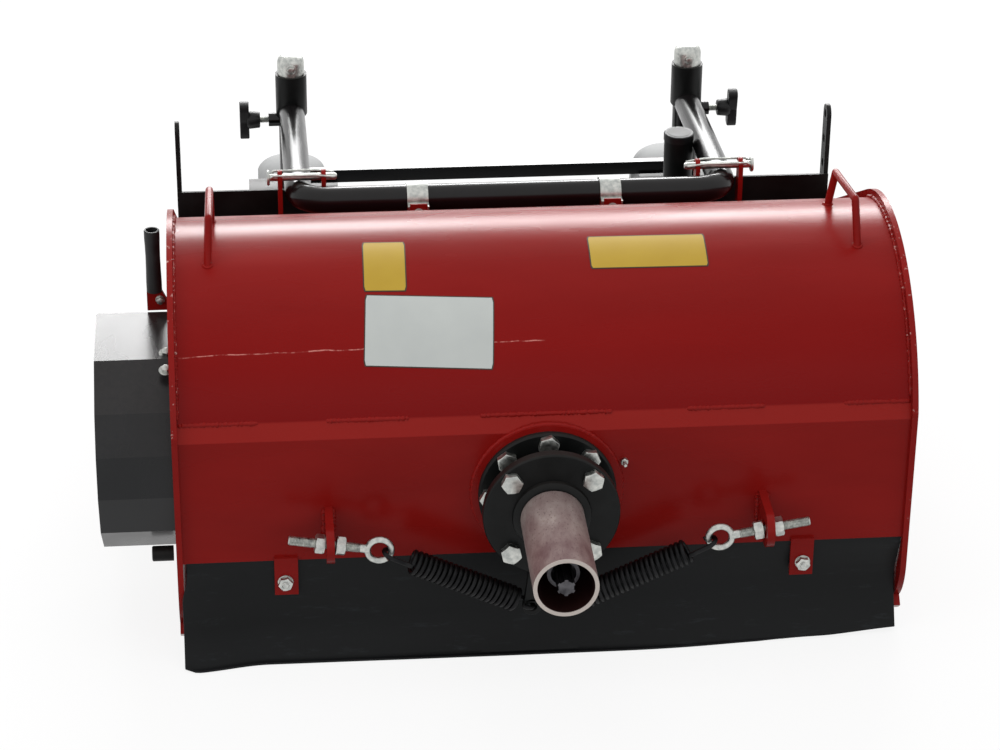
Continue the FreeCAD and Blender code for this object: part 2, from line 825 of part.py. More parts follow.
def rearFlap():
    flap = newBody("rear_flap")
    sketch = newSketch(flap, "YZ", ("0", "0", f"flapSide - ({plateInner})"))
    bend = "flapFoot + (flapFlare + flapThick) * sin(flapAngle)"
    centre = f"-({panelFace}) - flapFlare"
    inner = "flapFlare + flapThick"
    outline(sketch, [
        (f"-({panelFace})", "panelFoot - seatGap"),
        (f"-({panelFace})", bend, "flapFlare", -1),
        (f"{centre} + flapFlare * cos(flapAngle)", f"{bend} - flapFlare * sin(flapAngle)"),
        (f"{centre} + ({inner}) * cos(flapAngle)", f"{bend} - ({inner}) * sin(flapAngle)", inner, 1),
        (f"flapThick - ({panelFace})", bend),
        (f"flapThick - ({panelFace})", "panelFoot - seatGap"),
    ])
    grow(flap, sketch, f"2 * ({plateInner} - flapSide)")
    tabs = newBody("flap_tabs")
    for side in (-1, 1):
        sketch = newSketch(tabs, "XZ", ("0", "0", panelFace))
        box(sketch, f"{side} * flapTabAside - flapTabWide / 2", f"{side} * flapTabAside + flapTabWide / 2",
            "panelFoot - flapTabDown", "panelFoot + flapTabUp")
        grow(tabs, sketch, "flapTabThick")


springBack = f"({flangeRear} + armThick / 2)"


def springBracket(label, side):
    tab = newBody(label)
    high = "eyeHigh + (tabAside - eyeAside) * tan(eyeTilt)"
    sketch = newSketch(tab, "YZ", ("0", "0", f"{side} * tabAside - tabThick / 2"))
    outline(sketch, [
        (f"-({panelFace})", f"{high} - tabTall / 2"),
        (f"-({panelFace})", f"{high} + tabTall / 2"),
        (f"-{springBack}", f"{high} + tabTall / 2", "tabTall / 2", 1),
        (f"-{springBack}", f"{high} - tabTall / 2"),
    ])
    disc(sketch, "eyeThread + tabClear", f"-{springBack}", high)
    grow(tab, sketch, "tabThick")


def eyeBolt(label, side):
    axis = FreeCAD.Vector(0, side, 0)
    bolt = newBody(label, (f"{side} * eyeAside", f"-{springBack}", "eyeHigh"), (axis, "90 - eyeTilt"))
    sketch = newSketch(bolt, "XY")
    disc(sketch, "eyeWire", "eyeRing")
    spin(bolt, sketch)
    sketch = newSketch(bolt, "XY", ("0", "0", "eyeRing"))
    disc(sketch, "eyeThread")
    grow(bolt, sketch, "eyeBoltLong - eyeRing")
    middle = "(tabAside - eyeAside) / cos(eyeTilt)"
    stand = "tabThick / 2 / cos(eyeTilt) + nutHalf * tan(eyeTilt) + seatGap"
    corner = "nutHalf / cos(30)"
    for start in (f"{middle} - ({stand}) - nutThick", f"{middle} + {stand}"):
        sketch = newSketch(bolt, "XY", ("0", "0", start))
        outline(sketch, [(f"{corner} * cos({60 * k})", f"{corner} * sin({60 * k})") for k in range(6)])
        grow(bolt, sketch, "nutThick")


def spring(label, side):
    slope = "atan((eyeHigh - hookHigh) / (eyeAside - hookAside))"
    reach = "sqrt((eyeHigh - hookHigh) ^ 2 + (eyeAside - hookAside) ^ 2)"
    axis = FreeCAD.Vector(0, -side, 0)
    body = newBody(label, (f"{side} * eyeAside", f"-{springBack}", "eyeHigh"), (axis, f"90 deg + {slope}"))
    start = "hookOuter"
    step = f"({reach} - hookOuter - hookInner) / coilTurns"
    sketch = newSketch(body, "XZ")
    corners = [("0", start)]
    for turn in range(sizes["coilTurns"]):
        corners.append(("coilRadius - wireRadius", f"{start} + {turn} * {step}"))
        corners.append(("coilRadius", f"{start} + {turn + 0.5} * {step}"))
    corners.append(("coilRadius - wireRadius", f"{start} + coilTurns * {step}"))
    corners.append(("0", f"{start} + coilTurns * {step}"))
    outline(sketch, corners)
    spin(body, sketch)
    outerNear = "eyeRing - eyeWire - wireRadius - 2 * seatGap"
    innerFar = f"{reach} + hookPast"
    for low, high in ((outerNear, "hookOuter"), (f"{reach} - hookInner", innerFar)):
        sketch = newSketch(body, "YZ", ("0", "0", "-wireRadius"))
        middle = f"({low} + {high}) / 2"
        radius = f"({high} - ({low})) / 2"
        disc(sketch, f"{radius} + wireRadius", "0", middle)
        disc(sketch, f"{radius} - wireRadius", "0", middle)
        grow(body, sketch, "2 * wireRadius")


def caster(side, name):
    place = (f"{side} * postAside", "postForward", "0")
    inner = "wheelWide / 2 + forkGap"
    outer = f"{inner} + forkSheet"
    crownTop = f"{sleeveFoot} - washerGap"
    fork = newBody(f"caster_fork_{name}", place)
    sketch = newSketch(fork, "XY", ("0", "0", f"{crownTop} - crownThick"))
    box(sketch, f"-({outer})", outer, "-crownHalf", "crownHalf")
    grow(fork, sketch, "crownThick")
    for start in (f"-({outer})", inner):
        sketch = newSketch(fork, "YZ", ("0", "0", start))
        outline(sketch, [
            ("-crownHalf", crownTop),
            ("crownHalf", crownTop),
            ("wheelTrail + forkEye", "wheelRadius", "forkEye", -1),
            ("wheelTrail - forkEye", "wheelRadius"),
        ])
        grow(fork, sketch, "forkSheet")
    sketch = newSketch(fork, "YZ", ("0", "0", f"-({outer}) - axleOver"))
    disc(sketch, "axleRadius", "wheelTrail", "wheelRadius")
    grow(fork, sketch, f"2 * ({outer} + axleOver)")
    sketch = newSketch(fork, "XY", ("0", "0", crownTop))
    disc(sketch, "spindleRadius")
    grow(fork, sketch, f"{sleeveTop} + capTall / 2 - ({crownTop})")

    cap = newBody(f"stem_cap_{name}", (place[0], place[1], f"{sleeveTop} + washerGap"))
    sketch = newSketch(cap, "XZ")
    floor = "capTall / 2 - washerGap"
    outline(sketch, [
        ("spindleRadius", "0"),
        ("capRadius", "0"),
        ("capRadius", "capTall - capRound"),
        ("capRadius - capRound", "capTall"),
        ("0", "capTall"),
        ("0", floor),
        ("spindleRadius", floor),
    ])
    spin(cap, sketch)

    axle = (place[0], axleForward, "wheelRadius")
    wheel = newBody(f"wheel_hub_{name}", axle)
    sketch = newSketch(wheel, "XY")
    hubHalf = f"{inner} - seatGap"
    rimHalf = "wheelWide / 2 - rimInset"
    outline(sketch, [
        (f"-({hubHalf})", "axleRadius + runClear"),
        (f"-({hubHalf})", "hubRadius"),
        ("-webThick / 2", "hubRadius"),
        ("-webThick / 2", "rimRadius - rimSheet"),
        (f"-({rimHalf})", "rimRadius - rimSheet"),
        (f"-({rimHalf})", "rimRadius"),
        (rimHalf, "rimRadius"),
        (rimHalf, "rimRadius - rimSheet"),
        ("webThick / 2", "rimRadius - rimSheet"),
        ("webThick / 2", "hubRadius"),
        (hubHalf, "hubRadius"),
        (hubHalf, "axleRadius + runClear"),
    ])
    spin(wheel, sketch, "H_Axis")

    tyre = newBody(f"tyre_{name}", axle)
    sketch = newSketch(tyre, "XY")
    turns = [f"{step} / tyreFacets * asin(wheelWide / 2 / tyreCrown)"
             for step in range(-sizes["tyreFacets"], sizes["tyreFacets"] + 1)]
    crown = [(f"tyreCrown * sin({turn})", f"wheelRadius - tyreCrown * (1 - cos({turn}))") for turn in turns]
    outline(sketch, crown + [
        ("wheelWide / 2", "rimRadius + rimInset"),
        (rimHalf, "rimRadius"),
        (f"-({rimHalf})", "rimRadius"),
        ("-wheelWide / 2", "rimRadius + rimInset"),
    ])
    spin(tyre, sketch, "H_Axis")


def rotor():
    place = ("0", "rotorForward", "rotorHigh")
    drum = newBody("rotor_drum", place)
    sketch = newSketch(drum, "YZ", ("0", "0", f"drumGap - ({plateInner})"))
    disc(sketch, "drumRadius")
    grow(drum, sketch, f"2 * ({plateInner} - drumGap)")
    sketch = newSketch(drum, "YZ", ("0", "0", "-hoodWidth / 2"))
    disc(sketch, "stubRadius")
    grow(drum, sketch, "hoodWidth + bearingThick - seatGap")
    flails = newBody("rotor_flails", place)
    gap = "lugSheet / 2 + seatGap"
    for turn in range(sizes["flailRows"]):
        plane = "XZ" if turn % 2 else "XY"
        way = -1 if turn > 1 else 1
        offset = f"(({turn} + 0.5) / flailRows - flailCount / 2) * flailPitch"
        span = "(flailCount - 1) * flailPitch"
        sketch = newSketch(drum, plane, ("0", "0", "-lugWide / 2"))
        box(sketch, f"{offset} - lugSheet / 2", f"{offset} + lugSheet / 2", f"{way} * drumRadius / 2", f"{way} * lugRadius")
        lug = grow(drum, sketch, "lugWide")
        hole = newSketch(drum, "YZ", ("0", "0", f"{offset} + lugSheet / 2 + 1"))
        radial = f"{way} * (lugRadius - lugEye)"
        spot = (radial, "0") if plane == "XY" else ("0", radial)
        disc(hole, "flailPin + seatGap", *spot)
        eye = grow(drum, hole, "lugSheet + 2", "Pocket")
        line = row(drum, lug, sketch, span, "flailCount")
        line.Originals = [lug, eye]
        doc.recompute()

        sketch = newSketch(flails, plane, ("0", "0", "-flailWide / 2"))
        root = "lugRadius - 2 * lugEye"
        elbow = "lugRadius + lugEye"
        for hand in (-1, 1):
            outline(sketch, [(f"{offset} + {hand} * ({across})", f"{way} * ({radius})") for across, radius in (
                (gap, root),
                (f"{gap} + flailSheet", root),
                (f"{gap} + flailSheet", elbow),
                (f"{gap} + flailSheet + flailSpread", "flailRadius - flailSheet"),
                (f"{gap} + flailSpread", "flailRadius"),
                (gap, elbow),
            )])
        blades = grow(flails, sketch, "flailWide")
        bolt = newSketch(flails, "YZ", ("0", "0", f"{offset} - ({gap}) - flailSheet"))
        disc(bolt, "flailPin", *spot)
        rod = grow(flails, bolt, f"2 * ({gap} + flailSheet)")
        line = row(flails, blades, sketch, span, "flailCount")
        line.Originals = [blades, rod]
        doc.recompute()
    bearing = newBody("rotor_bearing", ("hoodWidth / 2", "rotorForward", "rotorHigh"))
    sketch = newSketch(bearing, "XY")
    outline(sketch, [
        ("0", "stubRadius + runClear"),
        ("0", "bearingRadius"),
        ("bearingThick / 2", "bearingRadius"),
        ("bearingThick / 2", "bearingNose"),
        ("bearingThick + capRound", "bearingNose"),
        ("bearingThick + capRound", "0"),
        ("bearingThick", "0"),
        ("bearingThick", "stubRadius + runClear"),
    ])
    spin(bearing, sketch, "H_Axis")


hood()
endPlate("end_plate_left", "-hoodWidth / 2")
endPlate("end_plate_right", plateInner)
skid("skid_left", "-hoodWidth / 2")
skid("skid_right", "hoodWidth / 2 - skidWide")
coupling()
driveShaft()
gearbox()
driveCover()
beltLever()
wheelFrame()
socketPost()
saddles()
lockEars()
frontGuard()
rearFlap()
rotor()
for side, name in ((-1, "left"), (1, "right")):
    carryLoop(f"carry_loop_{name}", side)
    knob(f"knob_{name}", side)
    lockPin(f"lock_pin_{name}", side)
    springBracket(f"spring_bracket_{name}", side)
    eyeBolt(f"eye_bolt_{name}", side)
    spring(f"spring_{name}", side)
    caster(side, name)

doc.recompute()
for item in doc.Objects:
    if "Invalid" in item.State or "Error" in item.State:
        raise RuntimeError(f"{item.Name} did not rebuild")
os.makedirs("parts", exist_ok=True)
for body in parts:
    if body.Shape.isNull() or not body.Shape.isValid():
        raise RuntimeError(f"{body.Label} has no valid shape")
    body.Shape.exportStep(f"parts/{body.Label}.step")
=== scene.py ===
import bpy
import bmesh
import math
import random
from mathutils import Matrix, Vector


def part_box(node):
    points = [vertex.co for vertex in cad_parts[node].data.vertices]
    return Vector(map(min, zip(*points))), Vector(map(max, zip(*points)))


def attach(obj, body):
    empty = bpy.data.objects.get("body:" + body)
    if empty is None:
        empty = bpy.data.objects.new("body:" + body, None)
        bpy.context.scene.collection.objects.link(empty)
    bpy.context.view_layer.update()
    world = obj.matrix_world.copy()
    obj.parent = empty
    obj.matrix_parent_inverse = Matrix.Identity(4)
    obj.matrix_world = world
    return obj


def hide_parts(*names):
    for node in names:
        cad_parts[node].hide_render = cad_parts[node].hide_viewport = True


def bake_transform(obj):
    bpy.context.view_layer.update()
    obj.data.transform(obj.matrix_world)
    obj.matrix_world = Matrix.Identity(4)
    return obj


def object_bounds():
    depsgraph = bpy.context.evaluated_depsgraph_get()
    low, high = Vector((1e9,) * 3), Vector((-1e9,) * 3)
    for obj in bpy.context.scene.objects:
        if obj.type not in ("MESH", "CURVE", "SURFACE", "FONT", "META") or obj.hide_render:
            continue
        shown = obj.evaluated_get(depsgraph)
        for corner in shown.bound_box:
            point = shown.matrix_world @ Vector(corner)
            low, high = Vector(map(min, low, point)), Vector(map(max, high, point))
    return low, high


# Flail mulcher for a two-wheel tractor, seen from behind and above. Shapes are drawn in millimetres:
# X to the right, Y forward of the hood's arc centre and Z above the ground.
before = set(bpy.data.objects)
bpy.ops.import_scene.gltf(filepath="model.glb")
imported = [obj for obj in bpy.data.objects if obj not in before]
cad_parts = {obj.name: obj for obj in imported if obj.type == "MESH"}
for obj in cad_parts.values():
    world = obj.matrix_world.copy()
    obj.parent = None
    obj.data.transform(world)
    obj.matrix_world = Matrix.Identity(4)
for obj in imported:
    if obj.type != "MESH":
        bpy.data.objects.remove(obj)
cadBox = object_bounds()
random.seed(7)
print("frame loaded")

mm = 0.001
hood = {
    "archRadius": 188,
    "archHigh": 205,
    "panelFace": 183.56,    # rear face of the upright panel, behind the arc centre
    "plateInner": 369,
    "frontSlope": 28,       # degrees that the front falls, ahead of the arch
    "rearTurn": 70.5,       # where the arch meets the flat band, behind the crest
}
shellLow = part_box("hood_shell")[0]
archY = shellLow.y + hood["panelFace"] * mm
groundZ = cadBox[0].z


# Metres in the frame from millimetres on the drawing.
def at(x, y, z):
    return Vector((x * mm, archY + y * mm, groundZ + z * mm))


# Millimetres on the drawing from metres in the frame.
def drawn(point):
    return Vector((point.x, point.y - archY, point.z - groundZ)) / mm


# The box of one of the frame's own solids, on the drawing.
def nodeBox(name):
    low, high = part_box(name)
    return drawn(low), drawn(high)


# A place on the hood's skin, turned back from the crest and lifted off it.
def onHood(x, turn, lift=0):
    reach = hood["archRadius"] + lift
    angle = math.radians(turn)
    return Vector((x, -reach * math.sin(angle), hood["archHigh"] + reach * math.cos(angle)))


# Every shape is a list of corners in millimetres and a list of faces. A turned one is closed by a
# profile that starts and ends on the axis.
def turnedShape(profile, steps=40):
    verts, rings, faces = [], [], []
    for radius, height in profile:
        count = steps if radius > 0.001 else 1
        rings.append([len(verts) + k for k in range(count)])
        for k in range(count):
            angle = 2 * math.pi * k / count
            verts.append(Vector((radius * math.cos(angle), radius * math.sin(angle), height)))
    for low, high in zip(rings, rings[1:]):
        for k in range(steps):
            corners = [low[k % len(low)], low[(k + 1) % len(low)],
                       high[(k + 1) % len(high)], high[k % len(high)]]
            face = list(dict.fromkeys(corners))
            if len(face) > 2:
                faces.append(face)
    return verts, faces


# A closed ring or tube wall: the profile joins up with its own start.
def ringShape(profile, steps=48):
    return turnedShape(profile + profile[:1], steps)


def circle(radius, count):
    return [(radius * math.cos(2 * math.pi * k / count), radius * math.sin(2 * math.pi * k / count))
            for k in range(count)]


# A section carried along a path without twisting. sizes scales the section at each point.
def sweptShape(path, section, sizes=None, closed=False):
    verts, faces = [], []
    count = len(path)
    side = None
    for k, point in enumerate(path):
        before = path[k - 1] if k or closed else point
        after = path[(k + 1) % count] if k + 1 < count or closed else point
        along = (after - before).normalized()
        if side is None:
            side = along.orthogonal().normalized()
        side = (side - along * side.dot(along)).normalized()
        other = along.cross(side)
        scale = sizes[k] if sizes else 1
        verts += [point + (side * u + other * v) * scale for u, v in section]
    ring = len(section)
    for k in range(count if closed else count - 1):
        low, high = k * ring, (k + 1) % count * ring
        faces += [[low + s, low + (s + 1) % ring, high + (s + 1) % ring, high + s] for s in range(ring)]
    if not closed:
        faces.append(list(range(ring))[::-1])
        faces.append([(count - 1) * ring + s for s in range(ring)])
    return verts, faces


def extrudedShape(outline, low, high):
    count = len(outline)
    verts = [Vector((x, y, low)) for x, y in outline] + [Vector((x, y, high)) for x, y in outline]
    faces = [[k, (k + 1) % count, (k + 1) % count + count, k + count] for k in range(count)]
    return verts, faces + [list(range(count))[::-1], list(range(count, 2 * count))]


# A hexagon with its corners taken off by a turned chamfer, as on a forged head or a nut.
def hexShape(across, tall):
    flat = across / 2
    facing = 0.95 * flat
    verts, faces = [], []
    steps = 36
    for k in range(steps):
        angle = 2 * math.pi * k / steps
        reach = flat / math.cos((angle + math.pi / 6) % (math.pi / 3) - math.pi / 6)
        drop = (reach - facing) * math.tan(math.radians(30))
        for radius, height in ((reach, 0), (reach, tall - drop), (facing, tall)):
            verts.append(Vector((radius * math.cos(angle), radius * math.sin(angle), height)))
    for k in range(steps):
        near, far = 3 * k, 3 * ((k + 1) % steps)
        faces += [[near, far, far + 1, near + 1], [near + 1, far + 1, far + 2, near + 2]]
    faces += [[3 * k for k in range(steps)][::-1], [3 * k + 2 for k in range(steps)]]
    return verts, faces


# A screw thread: the radius follows the helix, with flats left at crest and root.
def threadedShape(radius, pitch, length, steps=20):
    verts, faces = [], []
    perTurn = 6
    rows = int(length / pitch * perTurn)
    for row in range(rows + 1):
        height = length * row / rows
        end = min(height, length - height)
        for k in range(steps):
            wave = abs(((height / pitch + k / steps) % 1) * 2 - 1)
            depth = 0.61 * pitch * min(max(wave * 1.3 - 0.15, 0), 1)
            reach = min(radius - depth, radius - 0.8 * pitch + end)
            angle = 2 * math.pi * k / steps
            verts.append(Vector((reach * math.cos(angle), reach * math.sin(angle), height)))
    for row in range(rows):
        for k in range(steps):
            low, high = row * steps, (row + 1) * steps
            faces.append([low + k, low + (k + 1) % steps, high + (k + 1) % steps, high + k])
    faces += [list(range(steps))[::-1], [rows * steps + k for k in range(steps)]]
    return verts, faces


# Stand a shape's Z axis along a direction, turned about it, at a place.
def placed(shape, place, axis=(0, 0, 1), turn=0):
    direction = Vector(axis).normalized()
    stand = direction.to_track_quat("Z", "Y").to_matrix()
    spin = Matrix.Rotation(math.radians(turn), 3, "Z")
    return [Vector(place) + stand @ (spin @ Vector(v)) for v in shape[0]], shape[1]


def merged(shapes):
    verts, faces = [], []
    for more, extra in shapes:
        faces += [[index + len(verts) for index in face] for face in extra]
        verts += more
    return verts, faces


# A path with points no further apart than the spacing.
def sampled(path, spacing):
    points = [path[0]]
    for start, end in zip(path, path[1:]):
        count = max(1, math.ceil((end - start).length / spacing))
        points += [start.lerp(end, (k + 1) / count) for k in range(count)]
    return points


# A hand-laid weld: overlapping puddles whose width and height wander.
def weldShape(path, width, pitch=3.2, rough=0.25):
    points = sampled(path, pitch / 3)
    sizes, shifted = [], []
    for k, point in enumerate(points):
        puddle = 0.82 + 0.26 * abs(math.sin(math.pi * k / 3 + 0.4))
        ends = min(1, 0.35 + 0.5 * min(k, len(points) - 1 - k))
        sizes.append(ends * puddle * (1 + random.uniform(-rough, rough)))
        shifted.append(point + Vector([random.uniform(-1, 1) * rough * width * 0.2 for axis in range(3)]))
    return sweptShape(shifted, circle(width / 2, 8), sizes)


def addPiece(name, shapes, finish, body, sharp=35, bevel=None):
    verts, faces = merged(shapes)
    mesh = bpy.data.meshes.new(name)
    mesh.from_pydata([at(*v) for v in verts], [], faces)
    work = bmesh.new()
    work.from_mesh(mesh)
    bmesh.ops.remove_doubles(work, verts=work.verts, dist=2e-6)
    bmesh.ops.recalc_face_normals(work, faces=work.faces)
    work.to_mesh(mesh)
    work.free()
    piece = bpy.data.objects.new(name, mesh)
    bpy.context.scene.collection.objects.link(piece)
    mesh.materials.append(finish)
    mesh.shade_smooth()
    mesh.set_sharp_from_angle(angle=math.radians(sharp))
    if bevel:
        roundEdges(piece, bevel, sharp)
    if body:
        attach(piece, body)
    return piece


def roundEdges(piece, width, sharp=35):
    rounding = piece.modifiers.new("roundedEdges", "BEVEL")
    rounding.width = width * mm
    rounding.segments = 3
    rounding.limit_method = "ANGLE"
    rounding.angle_limit = math.radians(sharp)
    rounding.harden_normals = True


# Hex head over a plain washer, standing off a face along an axis.
def boltShape(place, axis, across, tall, washer=None, turn=0):
    shapes = []
    lift = 0
    if washer:
        outer, lift = washer
        edge = 0.25 * lift
        profile = [(0, 0), (outer, 0), (outer, lift - edge), (outer - edge, lift), (0, lift)]
        shapes.append(turnedShape(profile, 32))
    head = hexShape(across, tall)
    shapes.append(([v + Vector((0, 0, lift)) for v in head[0]], head[1]))
    return placed(merged(shapes), place, axis, turn)


# sRGB hex to the linear colour that the shaders want.
def linear(hexCode):
    parts = [int(hexCode[k:k + 2], 16) / 255 for k in (1, 3, 5)]
    return [c / 12.92 if c <= 0.04045 else ((c + 0.055) / 1.055) ** 2.4 for c in parts] + [1]


# Adds a node, sets its properties and sockets, and links sockets to other nodes' outputs.
def addNode(tree, kind, settings=None, links=None):
    node = tree.nodes.new("ShaderNode" + kind)
    for name, value in (settings or {}).items():
        if isinstance(name, str) and hasattr(node, name):
            setattr(node, name, value)
        else:
            node.inputs[name].default_value = value
    for name, (source, output) in (links or {}).items():
        tree.links.new(source.outputs[output], node.inputs[name])
    return node


# Outputs are passed on as a node and its socket. This one goes to a socket of the shader.
def feed(tree, source, shader, socket):
    tree.links.new(source[0].outputs[source[1]], shader.inputs[socket])


# A material with its shader, and coordinates in the object's own metres.
def startMaterial(name, settings):
    material = bpy.data.materials.new(name)
    material.use_nodes = True
    tree = material.node_tree
    tree.nodes.clear()
    shader = addNode(tree, "BsdfPrincipled", settings)
    addNode(tree, "OutputMaterial", links={"Surface": (shader, "BSDF")})
    coords = addNode(tree, "TexCoord")
    return material, tree, shader, coords


# Noise scale that puts one cell in the given number of millimetres.
def perMillimetre(size):
    return 1000 / size


# Clouds over the object with cells of the given millimetres, stretched along its axes.
def clouds(tree, coords, size, detail=3, stretch=(1, 1, 1), rough=0.55):
    spread = addNode(tree, "Mapping", {"Scale": stretch}, {"Vector": (coords, "Object")})
    settings = {"Scale": perMillimetre(size), "Detail": detail, "Roughness": rough}
    return addNode(tree, "TexNoise", settings, {"Vector": (spread, "Vector")}), "Fac"


# A colour that turns to a tint where all limits hold. A limit is an output, the values at which it
# begins to hold and holds fully, and the shares of the tint there if they aren't 0 and 1.
def tinted(tree, colour, tint, *limits):
    mask = None
    for source, begin, full, *shares in limits:
        low, high = shares or (0, 1)
        settings = {"From Min": begin, "From Max": full, "To Min": low, "To Max": high}
        part = addNode(tree, "MapRange", settings, {"Value": source}), "Result"
        if mask:
            part = addNode(tree, "Math", {"operation": "MULTIPLY"}, {0: mask, 1: part}), "Value"
        mask = part
    settings, links = {"data_type": "RGBA"}, {"Factor": mask}
    for socket, paint in ((6, colour), (7, tint)):
        if isinstance(paint, str):
            settings[socket] = linear(paint)
        else:
            links[socket] = paint
    return addNode(tree, "Mix", settings, links), 2


# Roughness that goes from the first value to the second with the clouds.
def glossed(tree, shader, source, rough):
    settings = {"From Min": 0.3, "From Max": 0.7, "To Min": rough[0], "To Max": rough[1]}
    feed(tree, (addNode(tree, "MapRange", settings, {"Value": source}), "Result"), shader, "Roughness")


# Bumps of real depth: each item is a pattern and its depth in millimetres.
def embossed(tree, shader, *reliefs):
    normal = None
    for source, depth in reliefs:
        links = {"Height": source}
        if normal:
            links["Normal"] = normal
        normal = addNode(tree, "Bump", {"Strength": 1, "Distance": depth * mm}, links), "Normal"
    feed(tree, normal, shader, "Normal")


dust = "#b7a8a0"    # dry soil, which settles where a face looks up


# Sprayed coat over steel: wet orange peel, slow drift of tone, thin dust where it faces up.
def coatedSteel(name, look):
    material, tree, shader, coords = startMaterial(name, {"IOR": 1.5, "Specular IOR Level": look["mirror"]})
    drift = clouds(tree, coords, look["driftSize"], 4, look.get("driftStretch", (1, 1, 1)))
    tone = tinted(tree, look["dark"], look["light"], (drift, 0.35, 0.65))
    facing = addNode(tree, "NewGeometry")
    upward = addNode(tree, "SeparateXYZ", links={"Vector": (facing, "Normal")}), "Z"
    specks = clouds(tree, coords, look.get("dustSize", 6), 6, rough=0.7)
    colour = tinted(tree, tone, dust, (upward, 0.2, 1, 0, look["dustShare"]), (specks, 0, 1))
    feed(tree, colour, shader, "Base Color")
    smear = clouds(tree, coords, look.get("smearSize", 45), 3, look.get("smearStretch", (0.25, 1, 1)))
    glossed(tree, shader, smear, look["rough"])
    reliefs = [(clouds(tree, coords, look["peelSize"], 2), look["peelDeep"])]
    if "sheetDeep" in look:
        reliefs.append((clouds(tree, coords, look["sheetSize"], 1, look["sheetStretch"]), look["sheetDeep"]))
    embossed(tree, shader, *reliefs)
    return material, tree, shader, coords, colour


# Red machinery enamel, air-sprayed over rolled sheet: deep gloss with a fine orange peel, and the
# long shallow waves of the sheet below it.
redLook = {
    "dark": "#7d120f", "light": "#891714", "driftSize": 90, "driftStretch": (0.3, 1, 1),
    "rough": (0.22, 0.32), "peelSize": 2.6, "peelDeep": 0.012, "dustShare": 0.01, "mirror": 0.1,
    "sheetSize": 60, "sheetStretch": (0.16, 1, 1), "sheetDeep": 0.16, "smearSize": 60,
}
# A long scratch across the arch, through to the primer. It wavers about a line that falls to the right.
scratch = {
    "turn": 48.7, "lift": 2, "fall": -0.012, "waver": 0.7, "waverSize": 30,
    "from": -366, "to": 2, "fades": (4, 10), "wide": 0.55, "primer": "#d98f86",
    "skipSize": 7, "skips": (0.42, 0.56), "shares": (0.05, 0.75),   # gaps, and the primer in and off them
}
# Painted light behind the crest: the flat band is painted lighter, as a painted highlight, and the arch above
# it is painted darker down to it, as a painted shade that fades out over the fade millimetres above the band.
paintedBandLight = {"tall": 18, "tone": "#98211b", "share": 0.6, "deep": "#790303", "fade": 150}
# Where the enamel has chipped off an edge: distances from the arch's axis, size and spread of the chips.
chipped = "#c08e88"
plateWear = {"from": 194.5, "to": 196.5, "until": 205, "size": 7, "cut": 0.62}
weldWear = {"from": 170, "to": 176, "until": 205, "size": 5, "cut": 0.6}


def redEnamel(name, onArch=False, wear=None):
    material, tree, shader, coords, colour = coatedSteel(name, redLook)
    place = addNode(tree, "SeparateXYZ", links={"Vector": (coords, "Object")})
    across, along, up = (place, "X"), (place, "Y"), (place, "Z")
    # On the arch: a painted shade and a painted highlight at the band, and a scratch through to the primer.
    if onArch:
        rear = (along, archY - 0.05, archY - 0.06)
        high = at(*onHood(0, hood["rearTurn"])).z
        low = high - paintedBandLight["tall"] * mm
        # Painted shade: the rear of the arch darkens down to the band's top edge.
        colour = tinted(tree, colour, paintedBandLight["deep"], (up, high - mm, high + mm),
                        (up, high + paintedBandLight["fade"] * mm, high), rear)
        # Painted highlight: the flat band below that edge is painted lighter.
        colour = tinted(tree, colour, paintedBandLight["tone"], (up, high + mm, high - mm),
                        (up, low, low + mm, 0, paintedBandLight["share"]), rear)
        waver = scratch["waver"] * mm
        settings = {"From Min": 0.3, "From Max": 0.7, "To Min": -waver, "To Max": waver}
        sway = addNode(tree, "MapRange", settings, {"Value": clouds(tree, coords, scratch["waverSize"], 2)})
        line = addNode(tree, "Math", {"operation": "MULTIPLY_ADD", 1: scratch["fall"]},
                       {0: across, 2: (sway, "Result")})
        level = addNode(tree, "Math", {"operation": "ADD"}, {0: up, 1: (line, "Value")})
        middle = at(*onHood(0, scratch["turn"])).z + scratch["lift"] * mm
        off = addNode(tree, "Math", {"operation": "SUBTRACT", 1: middle}, {0: (level, "Value")})
        away = addNode(tree, "Math", {"operation": "ABSOLUTE"}, {0: (off, "Value")}), "Value"
        wide, first, last = (scratch[key] * mm for key in ("wide", "from", "to"))
        fadeIn, fadeOut = (length * mm for length in scratch["fades"])
        skips = clouds(tree, coords, scratch["skipSize"], 5)
        colour = tinted(tree, colour, scratch["primer"], (away, wide, wide * 0.4),
                        (skips, *scratch["skips"], *scratch["shares"]),
                        (across, last, last - fadeOut), (across, first, first + fadeIn), rear)
    if wear:
        flat = addNode(tree, "CombineXYZ", links={"Y": along, "Z": up})
        centre = at(0, 0, hood["archHigh"])
        radius = addNode(tree, "VectorMath", {"operation": "DISTANCE", 1: (0, centre.y, centre.z)},
                         {0: (flat, "Vector")}), "Value"
        chips = clouds(tree, coords, wear["size"], 5, rough=0.7)
        colour = tinted(tree, colour, chipped, (radius, wear["from"] * mm, wear["to"] * mm),
                        (radius, wear["until"] * mm, (wear["until"] - 2) * mm),
                        (chips, wear["cut"], wear["cut"] + 0.03))
    feed(tree, colour, shader, "Base Color")
    return material


# Air-dried black enamel on bent tube and pressed sheet: a wet, near-mirror gloss.
glossBlack = coatedSteel("blackEnamel", {
    "dark": "#070708", "light": "#0c0c0e", "driftSize": 60, "rough": (0.17, 0.26), "peelSize": 3.4,
    "peelDeep": 0.006, "dustShare": 0.02, "mirror": 0.3,
})[0]

# Thick black enamel on the belt cover: softer gloss, with the brush of handling on its flats.
coverBlack = coatedSteel("coverEnamel", {
    "dark": "#111214", "light": "#17181a", "driftSize": 80, "rough": (0.24, 0.34), "peelSize": 3.0,
    "peelDeep": 0.014, "dustShare": 0.05, "smearSize": 70, "smearStretch": (1, 0.3, 1), "mirror": 0.3,
})[0]

